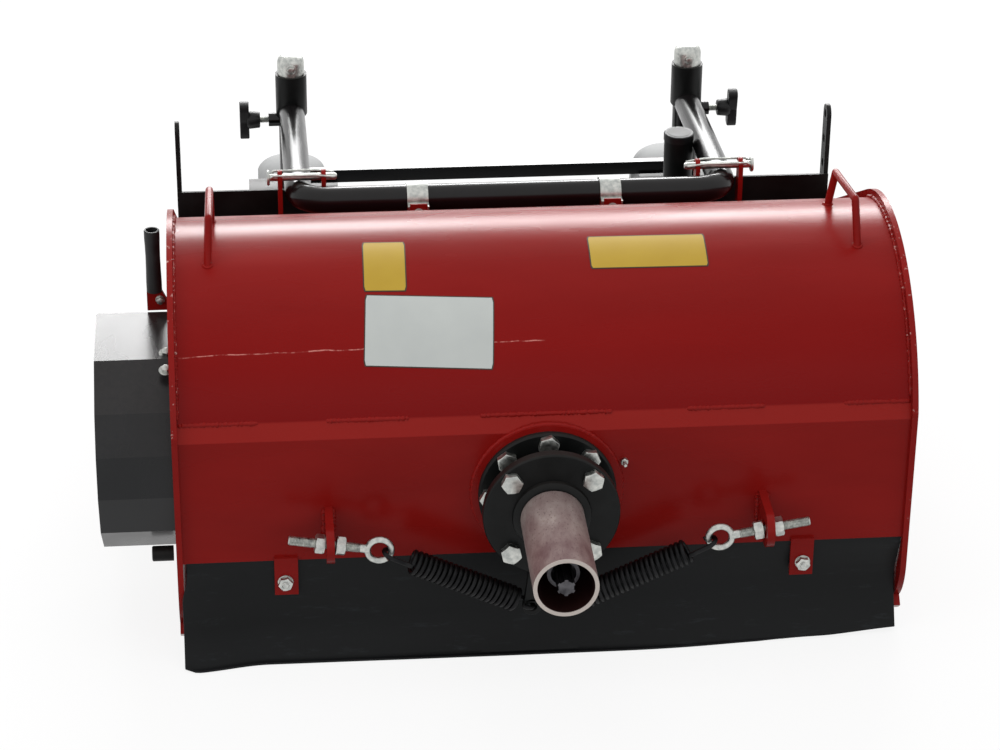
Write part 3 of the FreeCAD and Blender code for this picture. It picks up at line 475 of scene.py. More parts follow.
# Black powder coat baked on castings and turned rings: a low sheen with a grainy skin.
powderBlack = coatedSteel("powderCoat", {
    "dark": "#0c0d0d", "light": "#151616", "driftSize": 25, "rough": (0.34, 0.5), "peelSize": 1.6,
    "peelDeep": 0.03, "dustShare": 0.04, "dustSize": 3, "mirror": 0.15,
})[0]


# Bright zinc plate on pressed and turned steel: pale silver, clouded by the bath, a faint grain.
def zincPlate():
    material, tree, shader, coords = startMaterial("zincPlate", {"Metallic": 1})
    cloud = clouds(tree, coords, 5, 5)
    feed(tree, tinted(tree, "#a6a9a6", "#cfd0cb", (cloud, 0.35, 0.65)), shader, "Base Color")
    glossed(tree, shader, cloud, (0.3, 0.46))
    embossed(tree, shader, (clouds(tree, coords, 0.9), 0.008))
    return material


# Cold-drawn tube under a thin oxide wash: greyish pink, speckled where oil and rust came through,
# pale at its sawn end and dark brown down its bore.
oxideLook = {
    "tones": [(0.3, "#73595a"), (0.45, "#8a7674"), (0.6, "#9d8d89"), (0.75, "#b8aaa4")],
    "speck": "#5e4144", "bore": "#2a1413", "boreRadii": (29.8, 29.3),   # dark brown from the wall's middle inwards
    "sawn": "#c4bab3", "sawnDepths": (0.9, 0.5),
}


def oxideTube():
    material, tree, shader, coords = startMaterial("oxideWash", {"Metallic": 0.3, "IOR": 1.5})
    cloud = clouds(tree, coords, 24, 5, (1, 0.5, 1), 0.6)
    tone = addNode(tree, "ValToRGB", {}, {"Fac": cloud})
    stops = tone.color_ramp.elements
    while len(stops) < len(oxideLook["tones"]):
        stops.new(0.5)
    for stop, (position, shade) in zip(stops, oxideLook["tones"]):
        stop.position = position
        stop.color = linear(shade)
    grain = clouds(tree, coords, 1.6, 4, (1, 0.4, 1))
    place = addNode(tree, "SeparateXYZ", links={"Vector": (coords, "Object")})
    flat = addNode(tree, "CombineXYZ", links={"X": (place, "X"), "Z": (place, "Z")})
    radius = addNode(tree, "VectorMath", {"operation": "LENGTH"}, {0: (flat, "Vector")}), "Value"
    begin, full = (reach * mm for reach in oxideLook["boreRadii"])
    deep, shallow = (depth * mm for depth in oxideLook["sawnDepths"])
    colour = tinted(tree, (tone, "Color"), oxideLook["speck"], (grain, 0.58, 0.68, 0, 0.7))
    colour = tinted(tree, colour, oxideLook["bore"], (radius, begin, full))
    colour = tinted(tree, colour, oxideLook["sawn"], ((place, "Y"), deep, shallow))
    feed(tree, colour, shader, "Base Color")
    glossed(tree, shader, cloud, (0.5, 0.36))
    embossed(tree, shader, (grain, 0.03))
    return material


# Machined steel with a film of oil: fine turning marks and a warm, dull shine.
def turnedSteel(name, light, dark, rough):
    material, tree, shader, coords = startMaterial(name, {"Metallic": 1, "Roughness": rough})
    stain = clouds(tree, coords, 12, 5)
    feed(tree, tinted(tree, light, dark, (stain, 0.4, 0.65)), shader, "Base Color")
    embossed(tree, shader, (clouds(tree, coords, 0.8, 2), 0.01))
    return material


# Rubber belting, calendered: a dead black that greys where it is rubbed, with a faint cloth mark.
def flapRubber():
    material, tree, shader, coords = startMaterial("calenderedRubber", {
        "IOR": 1.52, "Specular IOR Level": 0.14,
    })
    cloud = clouds(tree, coords, 70, 5, (0.35, 1, 1))
    colour = tinted(tree, "#0e0f10", "#161718", (cloud, 0.35, 0.7))
    rubbed = clouds(tree, coords, 14, 6, (0.3, 1, 1.6), 0.7)
    colour = tinted(tree, colour, "#33383b", (rubbed, 0.58, 0.72, 0, 0.3))
    feed(tree, colour, shader, "Base Color")
    glossed(tree, shader, cloud, (0.42, 0.6))
    threads = {"Scale": perMillimetre(2.4) / (2 * math.pi), "Distortion": 0.6, "bands_direction": "X"}
    weave = addNode(tree, "TexWave", threads, {"Vector": (coords, "Object")}), "Fac"
    embossed(tree, shader, (weave, 0.02), (clouds(tree, coords, 26, 2), 0.25))
    return material


# Moulded, dipped and cast skins share one make-up: a tone, its drift, and the grain of the mould.
def mouldedSkin(name, look):
    material, tree, shader, coords = startMaterial(name, {"IOR": 1.49, "Specular IOR Level": 0.3})
    cloud = clouds(tree, coords, look["driftSize"], 4)
    feed(tree, tinted(tree, look["dark"], look["light"], (cloud, 0.35, 0.65)), shader, "Base Color")
    glossed(tree, shader, cloud, look["rough"])
    embossed(tree, shader, (clouds(tree, coords, look["grainSize"]), look["grainDeep"]))
    return material


# Glass-filled nylon knobs: black, a dull sheen, fine spark grain.
nylon = mouldedSkin("mouldedNylon", {
    "dark": "#0d0d0e", "light": "#161617", "driftSize": 12, "rough": (0.38, 0.5), "grainSize": 0.8,
    "grainDeep": 0.03,
})
# Dipped vinyl sleeve on the lever: soft charcoal, nearly matt.
vinyl = mouldedSkin("dippedVinyl", {
    "dark": "#1b1b1c", "light": "#262627", "driftSize": 18, "rough": (0.45, 0.6), "grainSize": 1.2,
    "grainDeep": 0.05,
})
# Non-marking grey rubber tyre, moulded: pale, chalky, with dust in its skin.
tyreRubber = mouldedSkin("greyTyreRubber", {
    "dark": "#9a9b9b", "light": "#a4a5a5", "driftSize": 30, "rough": (0.6, 0.75), "grainSize": 1.4,
    "grainDeep": 0.06,
})
# Injection-moulded polypropylene wheel centre: light grey and waxy.
polypropylene = mouldedSkin("polypropylene", {
    "dark": "#bfc1c0", "light": "#c6c8c7", "driftSize": 40, "rough": (0.35, 0.45), "grainSize": 1.0,
    "grainDeep": 0.02,
})
# Sand-cast iron housing, primed grey: coarse grain all over.
castIron = mouldedSkin("castIron", {
    "dark": "#3b3c3d", "light": "#4a4a49", "driftSize": 18, "rough": (0.55, 0.7), "grainSize": 1.8,
    "grainDeep": 0.25,
})


# Flat stock, printed vinyl or anodised plate: an even tone and a skin that is never quite flat.
def signStock(name, metallic, rough, dark, light):
    material, tree, shader, coords = startMaterial(name, {
        "Metallic": metallic, "Roughness": rough, "IOR": 1.5, "Specular IOR Level": 0.4,
    })
    feed(tree, tinted(tree, dark, light, (clouds(tree, coords, 40), 0.2, 0.8)), shader, "Base Color")
    embossed(tree, shader, (clouds(tree, coords, 14, 2), 0.03))
    return material


# Runner sheet, painted and then worn bright by the ground: steel shows through from below.
def wornRunner():
    material, tree, shader, coords, colour = coatedSteel("wornRunner", redLook)
    facing = addNode(tree, "NewGeometry")
    upward = addNode(tree, "SeparateXYZ", links={"Vector": (facing, "Normal")}), "Z"
    patches = clouds(tree, coords, 20, 5, (1, 0.4, 1))
    bared = tinted(tree, colour, "#8c8780", (upward, -0.55, -0.8), (patches, 0.4, 0.5))
    feed(tree, bared, shader, "Base Color")
    tree.links.new(bared[0].inputs["Factor"].links[0].from_socket, shader.inputs["Metallic"])
    return material


redHood = redEnamel("redEnamelHood", onArch=True)
redPlate = redEnamel("redEnamelPlates", wear=plateWear)
redSmall = redEnamel("redEnamelFittings")
redWeld = redEnamel("redEnamelWelds", wear=weldWear)
yellowVinyl = signStock("yellowVinyl", 0, 0.42, "#b08f26", "#b8982c")
inkBlack = signStock("printedInk", 0, 0.45, "#2a2620", "#353028")
anodised = signStock("anodisedPlate", 0.15, 0.4, "#b4b8b6", "#bcc0bd")
zinc = zincPlate()
oxide = oxideTube()
darkSteel = turnedSteel("oiledSteel", "#5e5d60", "#3a393c", 0.4)
springBlack = turnedSteel("blackenedSteel", "#2b2b2c", "#202021", 0.5)
forged = turnedSteel("forgedSteel", "#57504b", "#2f2a27", 0.5)
rubber = flapRubber()
runner = wornRunner()
print("materials made")


# Finish and rounding in millimetres of each of the frame's own solids.
nodeFinishes = [
    (redHood, 0, ["hood_shell"]),
    (redPlate, 1.2, ["end_plate_left", "end_plate_right"]),
    (redSmall, 0.8, ["spring_bracket_left", "spring_bracket_right", "saddle_brackets", "lock_ears",
                     "flap_tabs", "swivel_collar", "belt_lever"]),
    (redSmall, 0, ["carry_loop_left", "carry_loop_right"]),
    (runner, 1.5, ["skid_left", "skid_right"]),
    (powderBlack, 1.0, ["swivel_hub", "back_ring", "rotor_bearing", "front_guard",
                        "caster_fork_left", "caster_fork_right"]),
    (powderBlack, 0.6, ["guard_bar_left", "guard_bar_right"]),
    (coverBlack, 2.2, ["drive_cover"]),
    (glossBlack, 0, ["wheel_frame"]),
    (powderBlack, 0, ["capped_socket"]),
    (zinc, 0.5, ["saddle_straps", "stem_cap_left", "stem_cap_right", "lock_pin_left", "lock_pin_right"]),
    (oxide, 0, ["coupling_tube"]),
    (darkSteel, 0, ["pto_shaft"]),
    (castIron, 4, ["gearbox"]),
    (forged, 0, ["rotor_drum"]),
    (forged, 1, ["rotor_flails"]),
    (polypropylene, 0, ["wheel_hub_left", "wheel_hub_right"]),
    (tyreRubber, 0, ["tyre_left", "tyre_right"]),
    (rubber, 0, ["rear_flap"]),
    (nylon, 0, ["knob_left", "knob_right"]),
    (vinyl, 0, ["lever_grip"]),
    (springBlack, 0, ["spring_left", "spring_right"]),
    (zinc, 0, ["eye_bolt_left", "eye_bolt_right"]),
]
for finish, rounding, names in nodeFinishes:
    for name in names:
        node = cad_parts[name]
        node.data.materials.clear()
        node.data.materials.append(finish)
        if rounding:
            roundEdges(node, rounding, 18 if name == "drive_cover" else 30)
print("frame dressed")

# Coupling: bolts on the ring and the flange, the swivel hub, the weld and the tube's root.
coupling = {
    "high": 183,
    "ringFace": -193.6, "ringBolts": 8, "ringCircle": 58.5, "ringHead": (19, 7.5),
    "flangeFace": -234.86, "flangeRear": -222.86, "flangeOuter": 69, "flangeEdge": 1.5,
    "flangeSpread": 40.5, "flangeHead": (19, 7.5),
    "neck": 45, "neckFoot": -187.9, "neckFillet": 4, "bore": 22,
    "armTop": (20, 130), "armFoot": (26, 80), "armThick": 8,    # half width and height of each end
    "hooks": (18, 74), "hookHole": 5, "hookOuter": 9.5,
    "collar": 76, "collarWeld": -184, "collarWeldWide": 5,
    "rootOuter": 40, "rootInner": 32.2, "rootLong": 6,
}
backward = (0, -1, 0)
bolts = []
for k in range(coupling["ringBolts"]):
    angle = 2 * math.pi * k / coupling["ringBolts"]
    spot = Vector((coupling["ringCircle"] * math.cos(angle), coupling["ringFace"],
                   coupling["high"] + coupling["ringCircle"] * math.sin(angle)))
    bolts.append(boltShape(spot, backward, *coupling["ringHead"], turn=k * 23))
addPiece("ringBolts", bolts, zinc, "hood")
bolts = []
for across, up, turn in ((-1, -1, 12), (-1, 1, 35), (1, -1, 8), (1, 1, 50)):
    spot = (across * coupling["flangeSpread"], coupling["flangeFace"],
            coupling["high"] + up * coupling["flangeSpread"])
    bolts.append(boltShape(spot, backward, *coupling["flangeHead"], turn=turn))
addPiece("flangeBolts", bolts, zinc, "coupling")


# The swivel hub: a neck through the ring, a round flange turned with it, and the spring arm below.
def swivelHub():
    c = coupling
    foot, rear, face = -c["neckFoot"], -c["flangeRear"], -c["flangeFace"]
    neck, outer, edge, fillet = c["neck"], c["flangeOuter"], c["flangeEdge"], c["neckFillet"]
    turned = ringShape([
        (c["bore"], foot), (neck, foot),
        (neck, rear - fillet), (neck + 0.3 * fillet, rear - 0.3 * fillet), (neck + fillet, rear),
        (outer - edge, rear), (outer, rear + edge), (outer, face - edge), (outer - edge, face),
        (c["bore"], face),
    ], 96)
    shapes = [placed(turned, (0, 0, c["high"]), backward)]
    (topHalf, topHigh), (footHalf, footHigh) = c["armTop"], c["armFoot"]
    outline = [(-topHalf, topHigh), (-footHalf, footHigh), (footHalf, footHigh), (topHalf, topHigh)]
    plate, plateFaces = extrudedShape(outline, rear, rear + c["armThick"])
    shapes.append(([Vector((x, -depth, up)) for x, up, depth in plate], plateFaces))
    lug = ringShape([(c["hookHole"], 0), (c["hookOuter"], 0), (c["hookOuter"], c["armThick"]),
                     (c["hookHole"], c["armThick"])], 40)
    for side in (-1, 1):
        shapes.append(placed(lug, (side * c["hooks"][0], c["flangeRear"], c["hooks"][1]), backward))
    piece = addPiece("swivelHub", shapes, powderBlack, "coupling", bevel=0.6)
    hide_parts("swivel_hub")


swivelHub()

around = []
for k in range(91):
    angle = 2 * math.pi * k / 90
    around.append(Vector((coupling["collar"] * math.cos(angle), coupling["collarWeld"],
                          coupling["high"] + coupling["collar"] * math.sin(angle))))
addPiece("collarWeld", [weldShape(around, coupling["collarWeldWide"], 6, 0.15)], redSmall, "hood", sharp=60)

inner, outer, long = coupling["rootInner"], coupling["rootOuter"], coupling["rootLong"]
root = ringShape([(inner, 0), (outer, 0), (outer - 0.8, 3.2), (inner + 2.5, long), (inner, long)], 64)
rootPlace = (0, coupling["flangeFace"], coupling["high"])
addPiece("tubeRootCollar", [placed(root, rootPlace, backward)], powderBlack, "coupling")

# Grease nipple beside the ring.
nipple = {"place": (78, -183.6, 214), "hex": (7, 4), "stem": 1.9, "ball": 3.2}
stem = turnedShape([(0, 0), (nipple["stem"], 0), (nipple["stem"], 3), (1.5, 4), (nipple["ball"] * 0.62, 5.4),
                    (1.6, 7), (0, 7.4)], 20)
lifted = ([v + Vector((0, 0, nipple["hex"][1])) for v in stem[0]], stem[1])
nippleShape = merged([hexShape(*nipple["hex"]), lifted])
addPiece("greaseNipple", [placed(nippleShape, nipple["place"], backward)], zinc, "hood")
print("coupling done")

# Eye bolts with their nuts, and the springs between them and the hub's arm.
eye = {
    "aside": 172, "behind": -226.86, "high": 146, "ring": 12.1, "wire": 3.3, "tilt": 9.5,
    "gap": 40, "gapWide": 26,           # degrees: where the ring is open, and how far
    "long": 92, "plainLong": 20, "plain": 4.4, "thread": 5, "pitch": 1.5,
    "bracket": 221, "bracketHalf": 4, "nut": (17, 8), "nutGap": 0.4, "washer": (9.5, 1.4),
}
springForm = {
    "coil": 11, "wire": 2.4, "turns": 21.5, "start": 34, "end": 16, "hook": 22, "hub": (18, 74),
    "loop": 8.4, "narrowed": 0.86,      # the end turns draw in to this share
}


def eyeBolt(name, side):
    centre = Vector((side * eye["aside"], eye["behind"], eye["high"]))
    tilt = math.radians(eye["tilt"])
    along = Vector((side * math.cos(tilt), 0, math.sin(tilt)))
    gapMiddle = math.radians(180 + eye["gap"]) if side > 0 else math.radians(-eye["gap"])
    half = math.radians(eye["gapWide"] / 2)
    sweep = 2 * math.pi - 2 * half
    steps = 48
    ring = []
    for k in range(steps + 1):
        angle = gapMiddle + half + sweep * k / steps
        ring.append(centre + eye["ring"] * Vector((math.cos(angle), 0, math.sin(angle))))
    neckEnd = centre + along * eye["plainLong"]
    neckPath = [centre + along * (eye["ring"] - 1), centre + along * (eye["ring"] + 2.5), neckEnd]
    thread = threadedShape(eye["thread"], eye["pitch"], eye["long"] - eye["plainLong"])
    shapes = [
        sweptShape(ring, circle(eye["wire"], 16)),
        sweptShape(neckPath, circle(eye["plain"], 20), [0.9, 1.05, 1]),
        placed(thread, neckEnd, along),
    ]
    middle = (eye["bracket"] - eye["aside"]) / math.cos(tilt)
    across, tall = eye["nut"]
    stand = eye["bracketHalf"] / math.cos(tilt) + across / 2 * math.tan(tilt) + eye["nutGap"]
    bore, (outer, thick) = eye["thread"], eye["washer"]
    washer = ringShape([(bore, 0), (outer, 0), (outer, thick), (bore, thick)], 32)
    for way in (-1, 1):
        face = centre + along * (middle + way * stand)
        shapes.append(placed(washer, face, along * way))
        shapes.append(placed(hexShape(across, tall), face + along * way * thick, along * way, 12 + 20 * way))
    piece = addPiece(name, shapes, zinc, "hood")
    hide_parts(name.replace("eyeBolt", "eye_bolt_").lower())


def extensionSpring(name, side):
    top = Vector((side * eye["aside"], eye["behind"], eye["high"]))
    foot = Vector((side * springForm["hub"][0], eye["behind"], springForm["hub"][1]))
    along = (foot - top).normalized()
    reach = (foot - top).length
    cross = Vector((0, 1, 0))
    third = along.cross(cross)
    loop, coil = springForm["loop"], springForm["coil"]
    path = []

    def addLoop(middle, begin, sweep):
        for k in range(22):
            angle = math.radians(begin + sweep * k / 21)
            path.append(top + along * (middle + loop * math.cos(angle)) + cross * loop * math.sin(angle))

    addLoop(springForm["hook"] - loop, 70, 200)
    begin, end = springForm["start"] + 1, reach - springForm["end"] - 1
    steps = int(springForm["turns"] * 20)
    for k in range(steps + 1):
        angle = math.radians(270) + 2 * math.pi * springForm["turns"] * k / steps
        narrowed = springForm["narrowed"]
        radius = coil * min(1, narrowed + (1 - narrowed) * min(k, steps - k) / 8)
        path.append(top + along * (begin + (end - begin) * k / steps)
                    + cross * radius * math.sin(angle) + third * radius * math.cos(angle))
    addLoop(reach + 0.8 - loop + springForm["wire"] * 0.3, 120, -230)
    piece = addPiece(name, [sweptShape(path, circle(springForm["wire"], 10))], springBlack, None, sharp=60)
    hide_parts(name.replace("spring", "spring_").lower())
    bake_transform(piece)


for side, word in ((-1, "Left"), (1, "Right")):
    eyeBolt("eyeBolt" + word, side)
    extensionSpring("spring" + word, side)
print("springs done")

# Rear flap: belting hung under the panel, flared by its own set and waved at the right.
flap = {
    "half": 366, "widenLeft": 5, "widenRight": 1.5, "slack": 2.5, "top": 112, "thick": 5, "face": -183.8,
    "proud": 11, "proudFrom": 285,      # at the left it rides out over the end plate beyond this distance
    "straightLeft": 74, "straightRight": 48,    # length that hangs straight before the flare
    "flareLeft": 44, "flareRight": 30,          # degrees at the hem
    "longLeft": 121, "longRight": 111, "corner": 14,
    "tuck": 17, "tuckFrom": 0.62,               # degrees that the right end folds inward, and from where
    "ripple": 1.6, "ripples": 4.2, "clear": 3.4,    # waves at the hem, and its height off the ground
    "columns": 140, "rows": 34,
}


def smooth(share):
    share = min(1, max(0, share))
    return share * share * (3 - 2 * share)


# A place on the flap's rear face, with u from left to right and v from the top to the hem.
def flapPoint(u, v):
    left = -flap["half"] - flap["widenLeft"] * smooth((v - 0.12) / 0.25)
    right = flap["half"] + flap["slack"] - (flap["slack"] - flap["widenRight"]) * v
    right -= math.sin(math.pi * min(1, v * 1.1)) ** 2
    x = left + (right - left) * u
    ease = smooth(u)
    straight = flap["straightLeft"] + (flap["straightRight"] - flap["straightLeft"]) * ease
    flare = flap["flareLeft"] + (flap["flareRight"] - flap["flareLeft"]) * ease
    long = flap["longLeft"] + (flap["longRight"] - flap["longLeft"]) * u ** 4
    long -= max(0, flap["corner"] - flap["half"] - flap["widenLeft"] - x) * 0.6
    outside = smooth((-x - flap["proudFrom"]) / (flap["half"] - flap["proudFrom"])) * smooth(v / 0.22)
    fold = smooth((u - flap["tuckFrom"]) / (1 - flap["tuckFrom"]))
    y = flap["face"] - flap["proud"] * outside
    z = flap["top"]
    steps = 24
    for k in range(steps):
        run = long * v * (k + 1) / steps
        bend = max(0, min(1, (run - straight) / (long - straight)))
        turn = math.radians(flare) * bend * (1.7 - 0.7 * bend)
        tuck = math.radians(flap["tuck"]) * fold * (smooth(run / 12) - smooth((run - straight + 6) / 12))
        y -= long * v / steps * math.sin(turn - tuck)
        z -= long * v / steps * math.cos(turn - tuck)
    ripple = fold * v * (flap["ripple"] * math.sin(2 * math.pi * u * flap["ripples"]) - 1)
    return Vector((x, y + ripple, max(z, flap["clear"])))


def rearFlap():
    columns, rows = flap["columns"], flap["rows"]
    front = [[flapPoint(c / columns, r / rows) for c in range(columns + 1)] for r in range(rows + 1)]
    verts, faces = [], []
    for r in range(rows + 1):
        for c in range(columns + 1):
            nextRow = front[min(r + 1, rows)][c] - front[max(r - 1, 0)][c]
            normal = Vector((1, 0, 0)).cross(nextRow).normalized()
            if normal.y < 0:
                normal = -normal
            inner = front[r][c] + normal * flap["thick"]
            verts += [front[r][c], Vector((inner.x, inner.y, max(inner.z, 1)))]
    wide = columns + 1
    for r in range(rows):
        for c in range(columns):
            a, b = r * wide + c, (r + 1) * wide + c
            faces.append([2 * a, 2 * (a + 1), 2 * (b + 1), 2 * b])
            faces.append([2 * a + 1, 2 * b + 1, 2 * (b + 1) + 1, 2 * (a + 1) + 1])
    for r in range(rows):
        for c in (0, columns):
            a, b = r * wide + c, (r + 1) * wide + c
            faces.append([2 * a, 2 * b, 2 * b + 1, 2 * a + 1])
    for c in range(columns):
        for r in (0, rows):
            a = r * wide + c
            faces.append([2 * a, 2 * a + 1, 2 * a + 3, 2 * a + 2])
    piece = addPiece("rearFlap", [(verts, faces)], rubber, "hood", sharp=50, bevel=0.8)
    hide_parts("rear_flap")


rearFlap()
tabBolt = {"aside": 266, "face": -187.6, "high": 88.5, "head": (13, 5.5), "washer": (8, 1.6),
           "stud": 3.9, "pitch": 1.25, "studLong": 10}
bolts = []
for side in (-1, 1):
    spot = Vector((side * tabBolt["aside"], tabBolt["face"], tabBolt["high"]))
    bolts.append(boltShape(spot, backward, *tabBolt["head"], tabBolt["washer"], turn=20 * side))
    stud = threadedShape(tabBolt["stud"], tabBolt["pitch"], tabBolt["studLong"])
    bolts.append(placed(stud, spot + Vector((0, 1, 0)), backward))
addPiece("flapTabBolts", bolts, zinc, "hood")
print("flap done")

# Signs laid on the arch, all blank. x and turn are where they begin and end.
signs = {
    "yellowSignLeft": {"x": (-178, -134), "turn": (8.5, 30), "tilt": 1.5, "face": yellowVinyl, "frame": 1.2},
    "yellowSignRight": {"x": (53, 174), "turn": (9, 24), "tilt": 0.6, "face": yellowVinyl, "frame": 1.2},
    "ratingPlate": {"x": (-180, -50), "turn": (32, 55.5), "tilt": 3.4, "face": anodised, "frame": 1.1},
}
signGrid = {"corner": 1.2, "rows": 14, "columns": 10}


# A patch bent to the hood, given the skin heights of its two sides and a margin round it.
def patchShape(sign, low, high, margin):
    rows, columns, corner = signGrid["rows"], signGrid["columns"], signGrid["corner"]
    radius = hood["archRadius"]
    degrees = math.degrees(margin / radius)
    left, right = sign["x"][0] + margin, sign["x"][1] - margin
    near, far = sign["turn"][0] + degrees, sign["turn"][1] - degrees
    tilt = math.radians(sign["tilt"])
    middleX, middleTurn = sum(sign["x"]) / 2, sum(sign["turn"]) / 2
    verts, faces = [], []
    for lift in (low, high):
        for r in range(rows + 1):
            turn = near + (far - near) * r / rows
            inset = 0
            for limit in (turn - near, far - turn):
                across = math.radians(limit) * radius
                if across < corner:
                    inset = max(inset, corner - math.sqrt(max(0, corner ** 2 - (corner - across) ** 2)))
            down = math.radians(turn - middleTurn) * radius
            for c in range(columns + 1):
                aside = left + inset + (right - left - 2 * inset) * c / columns - middleX
                x = middleX + aside * math.cos(tilt) - down * math.sin(tilt)
                run = aside * math.sin(tilt) + down * math.cos(tilt)
                verts.append(onHood(x, middleTurn + math.degrees(run / radius), lift))
    wide, layer = columns + 1, (rows + 1) * (columns + 1)
    for r in range(rows):
        for c in range(columns):
            a = r * wide + c
            faces.append([layer + a, layer + a + 1, layer + a + 1 + wide, layer + a + wide])
            faces.append([a, a + wide, a + wide + 1, a + 1])
    rim = [c for c in range(wide)] + [r * wide + columns for r in range(1, rows + 1)]
    rim += [rows * wide + c for c in range(columns - 1, -1, -1)] + [r * wide for r in range(rows - 1, 0, -1)]
    for start, end in zip(rim, rim[1:] + rim[:1]):
        faces.append([start, end, end + layer, start + layer])
    return verts, faces


for name, sign in signs.items():
    addPiece(name + "Base", [patchShape(sign, 0.02, 0.35, 0)], inkBlack, "hood", sharp=40)
    addPiece(name, [patchShape(sign, 0.3, 0.5, sign["frame"])], sign["face"], "hood", sharp=40)
print("signs done")

# Welds: stitches along the band, a seam up each end plate, and beads where fittings stand.
seams = {
    "stitches": ((-369, -288), (-222, -138), (-68, 66), (140, 221), (300, 369)),
    "stitchWide": 5.4, "stitchSunk": -1.4,
    "seamWide": 4, "seamFrom": -26, "seamTo": 69,
}
shapes = []
for ends in seams["stitches"]:
    line = [onHood(x, hood["rearTurn"], seams["stitchSunk"]) for x in ends]
    shapes.append(weldShape(line, seams["stitchWide"], 4.2, 0.16))
addPiece("bandStitches", shapes, redSmall, "hood", sharp=60)
for side, word in ((-1, "Left"), (1, "Right")):
    steps = 60
    edge = []
    for k in range(steps + 1):
        turn = seams["seamFrom"] + (seams["seamTo"] - seams["seamFrom"]) * k / steps
        edge.append(onHood(side * (hood["plateInner"] - 0.5), turn, 0.6))
    addPiece("plateSeam" + word, [weldShape(edge, seams["seamWide"], 4, 0.3)], redWeld, "hood", sharp=60)

beads = {
    "bracketHalf": 4.6, "bracketLong": 32, "panel": -184,       # beside the spring brackets
    "ears": (207, 255), "earHalf": 3, "earRear": 223, "earLong": 16, "earLift": 0.05,   # beside the lock ears
}
beadShapes = []
slope = math.radians(hood["frontSlope"])
skin = hood["archHigh"] + (hood["archRadius"] - beads["earRear"] * math.sin(slope)) / math.cos(slope)
middle = eye["high"] + (eye["bracket"] - eye["aside"]) * math.tan(math.radians(eye["tilt"]))
for side in (-1, 1):
    for across in (-beads["bracketHalf"], beads["bracketHalf"]):
        start = Vector((side * eye["bracket"] + across, beads["panel"], middle - beads["bracketLong"] / 2))
        beadShapes.append(weldShape([start, start + Vector((0, 0, beads["bracketLong"]))], 5, 3.4, 0.3))
    for inner in beads["ears"]:
        for across in (-beads["earHalf"], beads["earHalf"]):
            start = Vector((side * inner + across, beads["earRear"], skin + beads["earLift"]))
            end = start + Vector((0, beads["earLong"], -beads["earLong"] * math.tan(slope)))
            beadShapes.append(weldShape([start, end], 4, 3.2, 0.25))
addPiece("fittingWelds", beadShapes, redSmall, "hood", sharp=60)

# Lifting loops: bent round bar, both toed in towards the front.
loopForm = {
    "wire": 4, "aside": (334, 330), "toeIn": (1, 9), "rear": -55, "bar": 82, "lean": 3, "foot": 8,
    "top": 441, "inset": 9, "bead": 3.2, "beadRadius": 4.2, "beadHigh": 1.2,
}


# Draws a path's inner corners in to a point that lies the same way inside both lines, and turns the
# path tightly about it: what slerp gives is one millimetre long.
def bentPath(points, inset):
    path = [points[0]]
    for before, corner, after in zip(points, points[1:], points[2:]):
        back, ahead = (before - corner).normalized(), (after - corner).normalized()
        half = back.angle(ahead) / 2
        start, end = corner + back * inset / math.tan(half), corner + ahead * inset / math.tan(half)
        middle = corner + (back + ahead).normalized() * inset / math.sin(half)
        for k in range(9):
            spoke = (start - middle).slerp(end - middle, k / 8)
            path.append(middle + spoke)
    return path + [points[-1]]


for side, word, aside, toeIn in zip((-1, 1), ("left", "right"), loopForm["aside"], loopForm["toeIn"]):
    rear, lean, radius = loopForm["rear"], loopForm["lean"], hood["archRadius"]
    shoulder = rear + loopForm["bar"]
    corners = []
    for inward, forward, raised in ((0, rear, False), (lean, rear, True), (lean + toeIn, shoulder, True),
                                    (lean + 1.3 * toeIn, shoulder + loopForm["foot"], False)):
        ground = hood["archHigh"] + math.sqrt(radius ** 2 - forward ** 2) - 1
        corners.append(Vector((side * (aside - inward), forward, loopForm["top"] if raised else ground)))
    shapes = [sweptShape(bentPath(corners, loopForm["inset"]), circle(loopForm["wire"], 24))]
    for foot in (corners[0], corners[-1]):
        fall = foot.y / math.sqrt(radius ** 2 - foot.y ** 2)
        ring = []
        for k in range(17):
            angle = 2 * math.pi * k / 16
            along = loopForm["beadRadius"] * math.sin(angle)
            ring.append(foot + Vector((loopForm["beadRadius"] * math.cos(angle), along,
                                       loopForm["beadHigh"] - along * fall)))
        shapes.append(weldShape(ring, loopForm["bead"], 3, 0.15))
    piece = addPiece("carryLoop" + word.title(), shapes, redSmall, "hood", sharp=60)
    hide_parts("carry_loop_" + word)
print("welds done")

# Belt cover screws, the boss under it, lever grip and bolt.
cover = {"screws": ((-379, -120, 300.5), (-379, -88, 303)), "lean": (0, -0.35, 1),
         "head": (8, 3.5), "washer": (7, 1)}
shapes = [boltShape(spot, cover["lean"], *cover["head"], cover["washer"], 15) for spot in cover["screws"]]
addPiece("coverScrews", shapes, zinc, "hood")
bossForm = {"place": (-401, -140, 99), "long": 22, "radius": 8, "edge": 1}
long, radius, edge = bossForm["long"], bossForm["radius"], bossForm["edge"]
boss = turnedShape([(0, 0), (radius - edge, 0), (radius, edge), (radius, long), (0, long)], 32)
addPiece("coverBoss", [placed(boss, bossForm["place"], (1, 0, 0))], powderBlack, "hood")

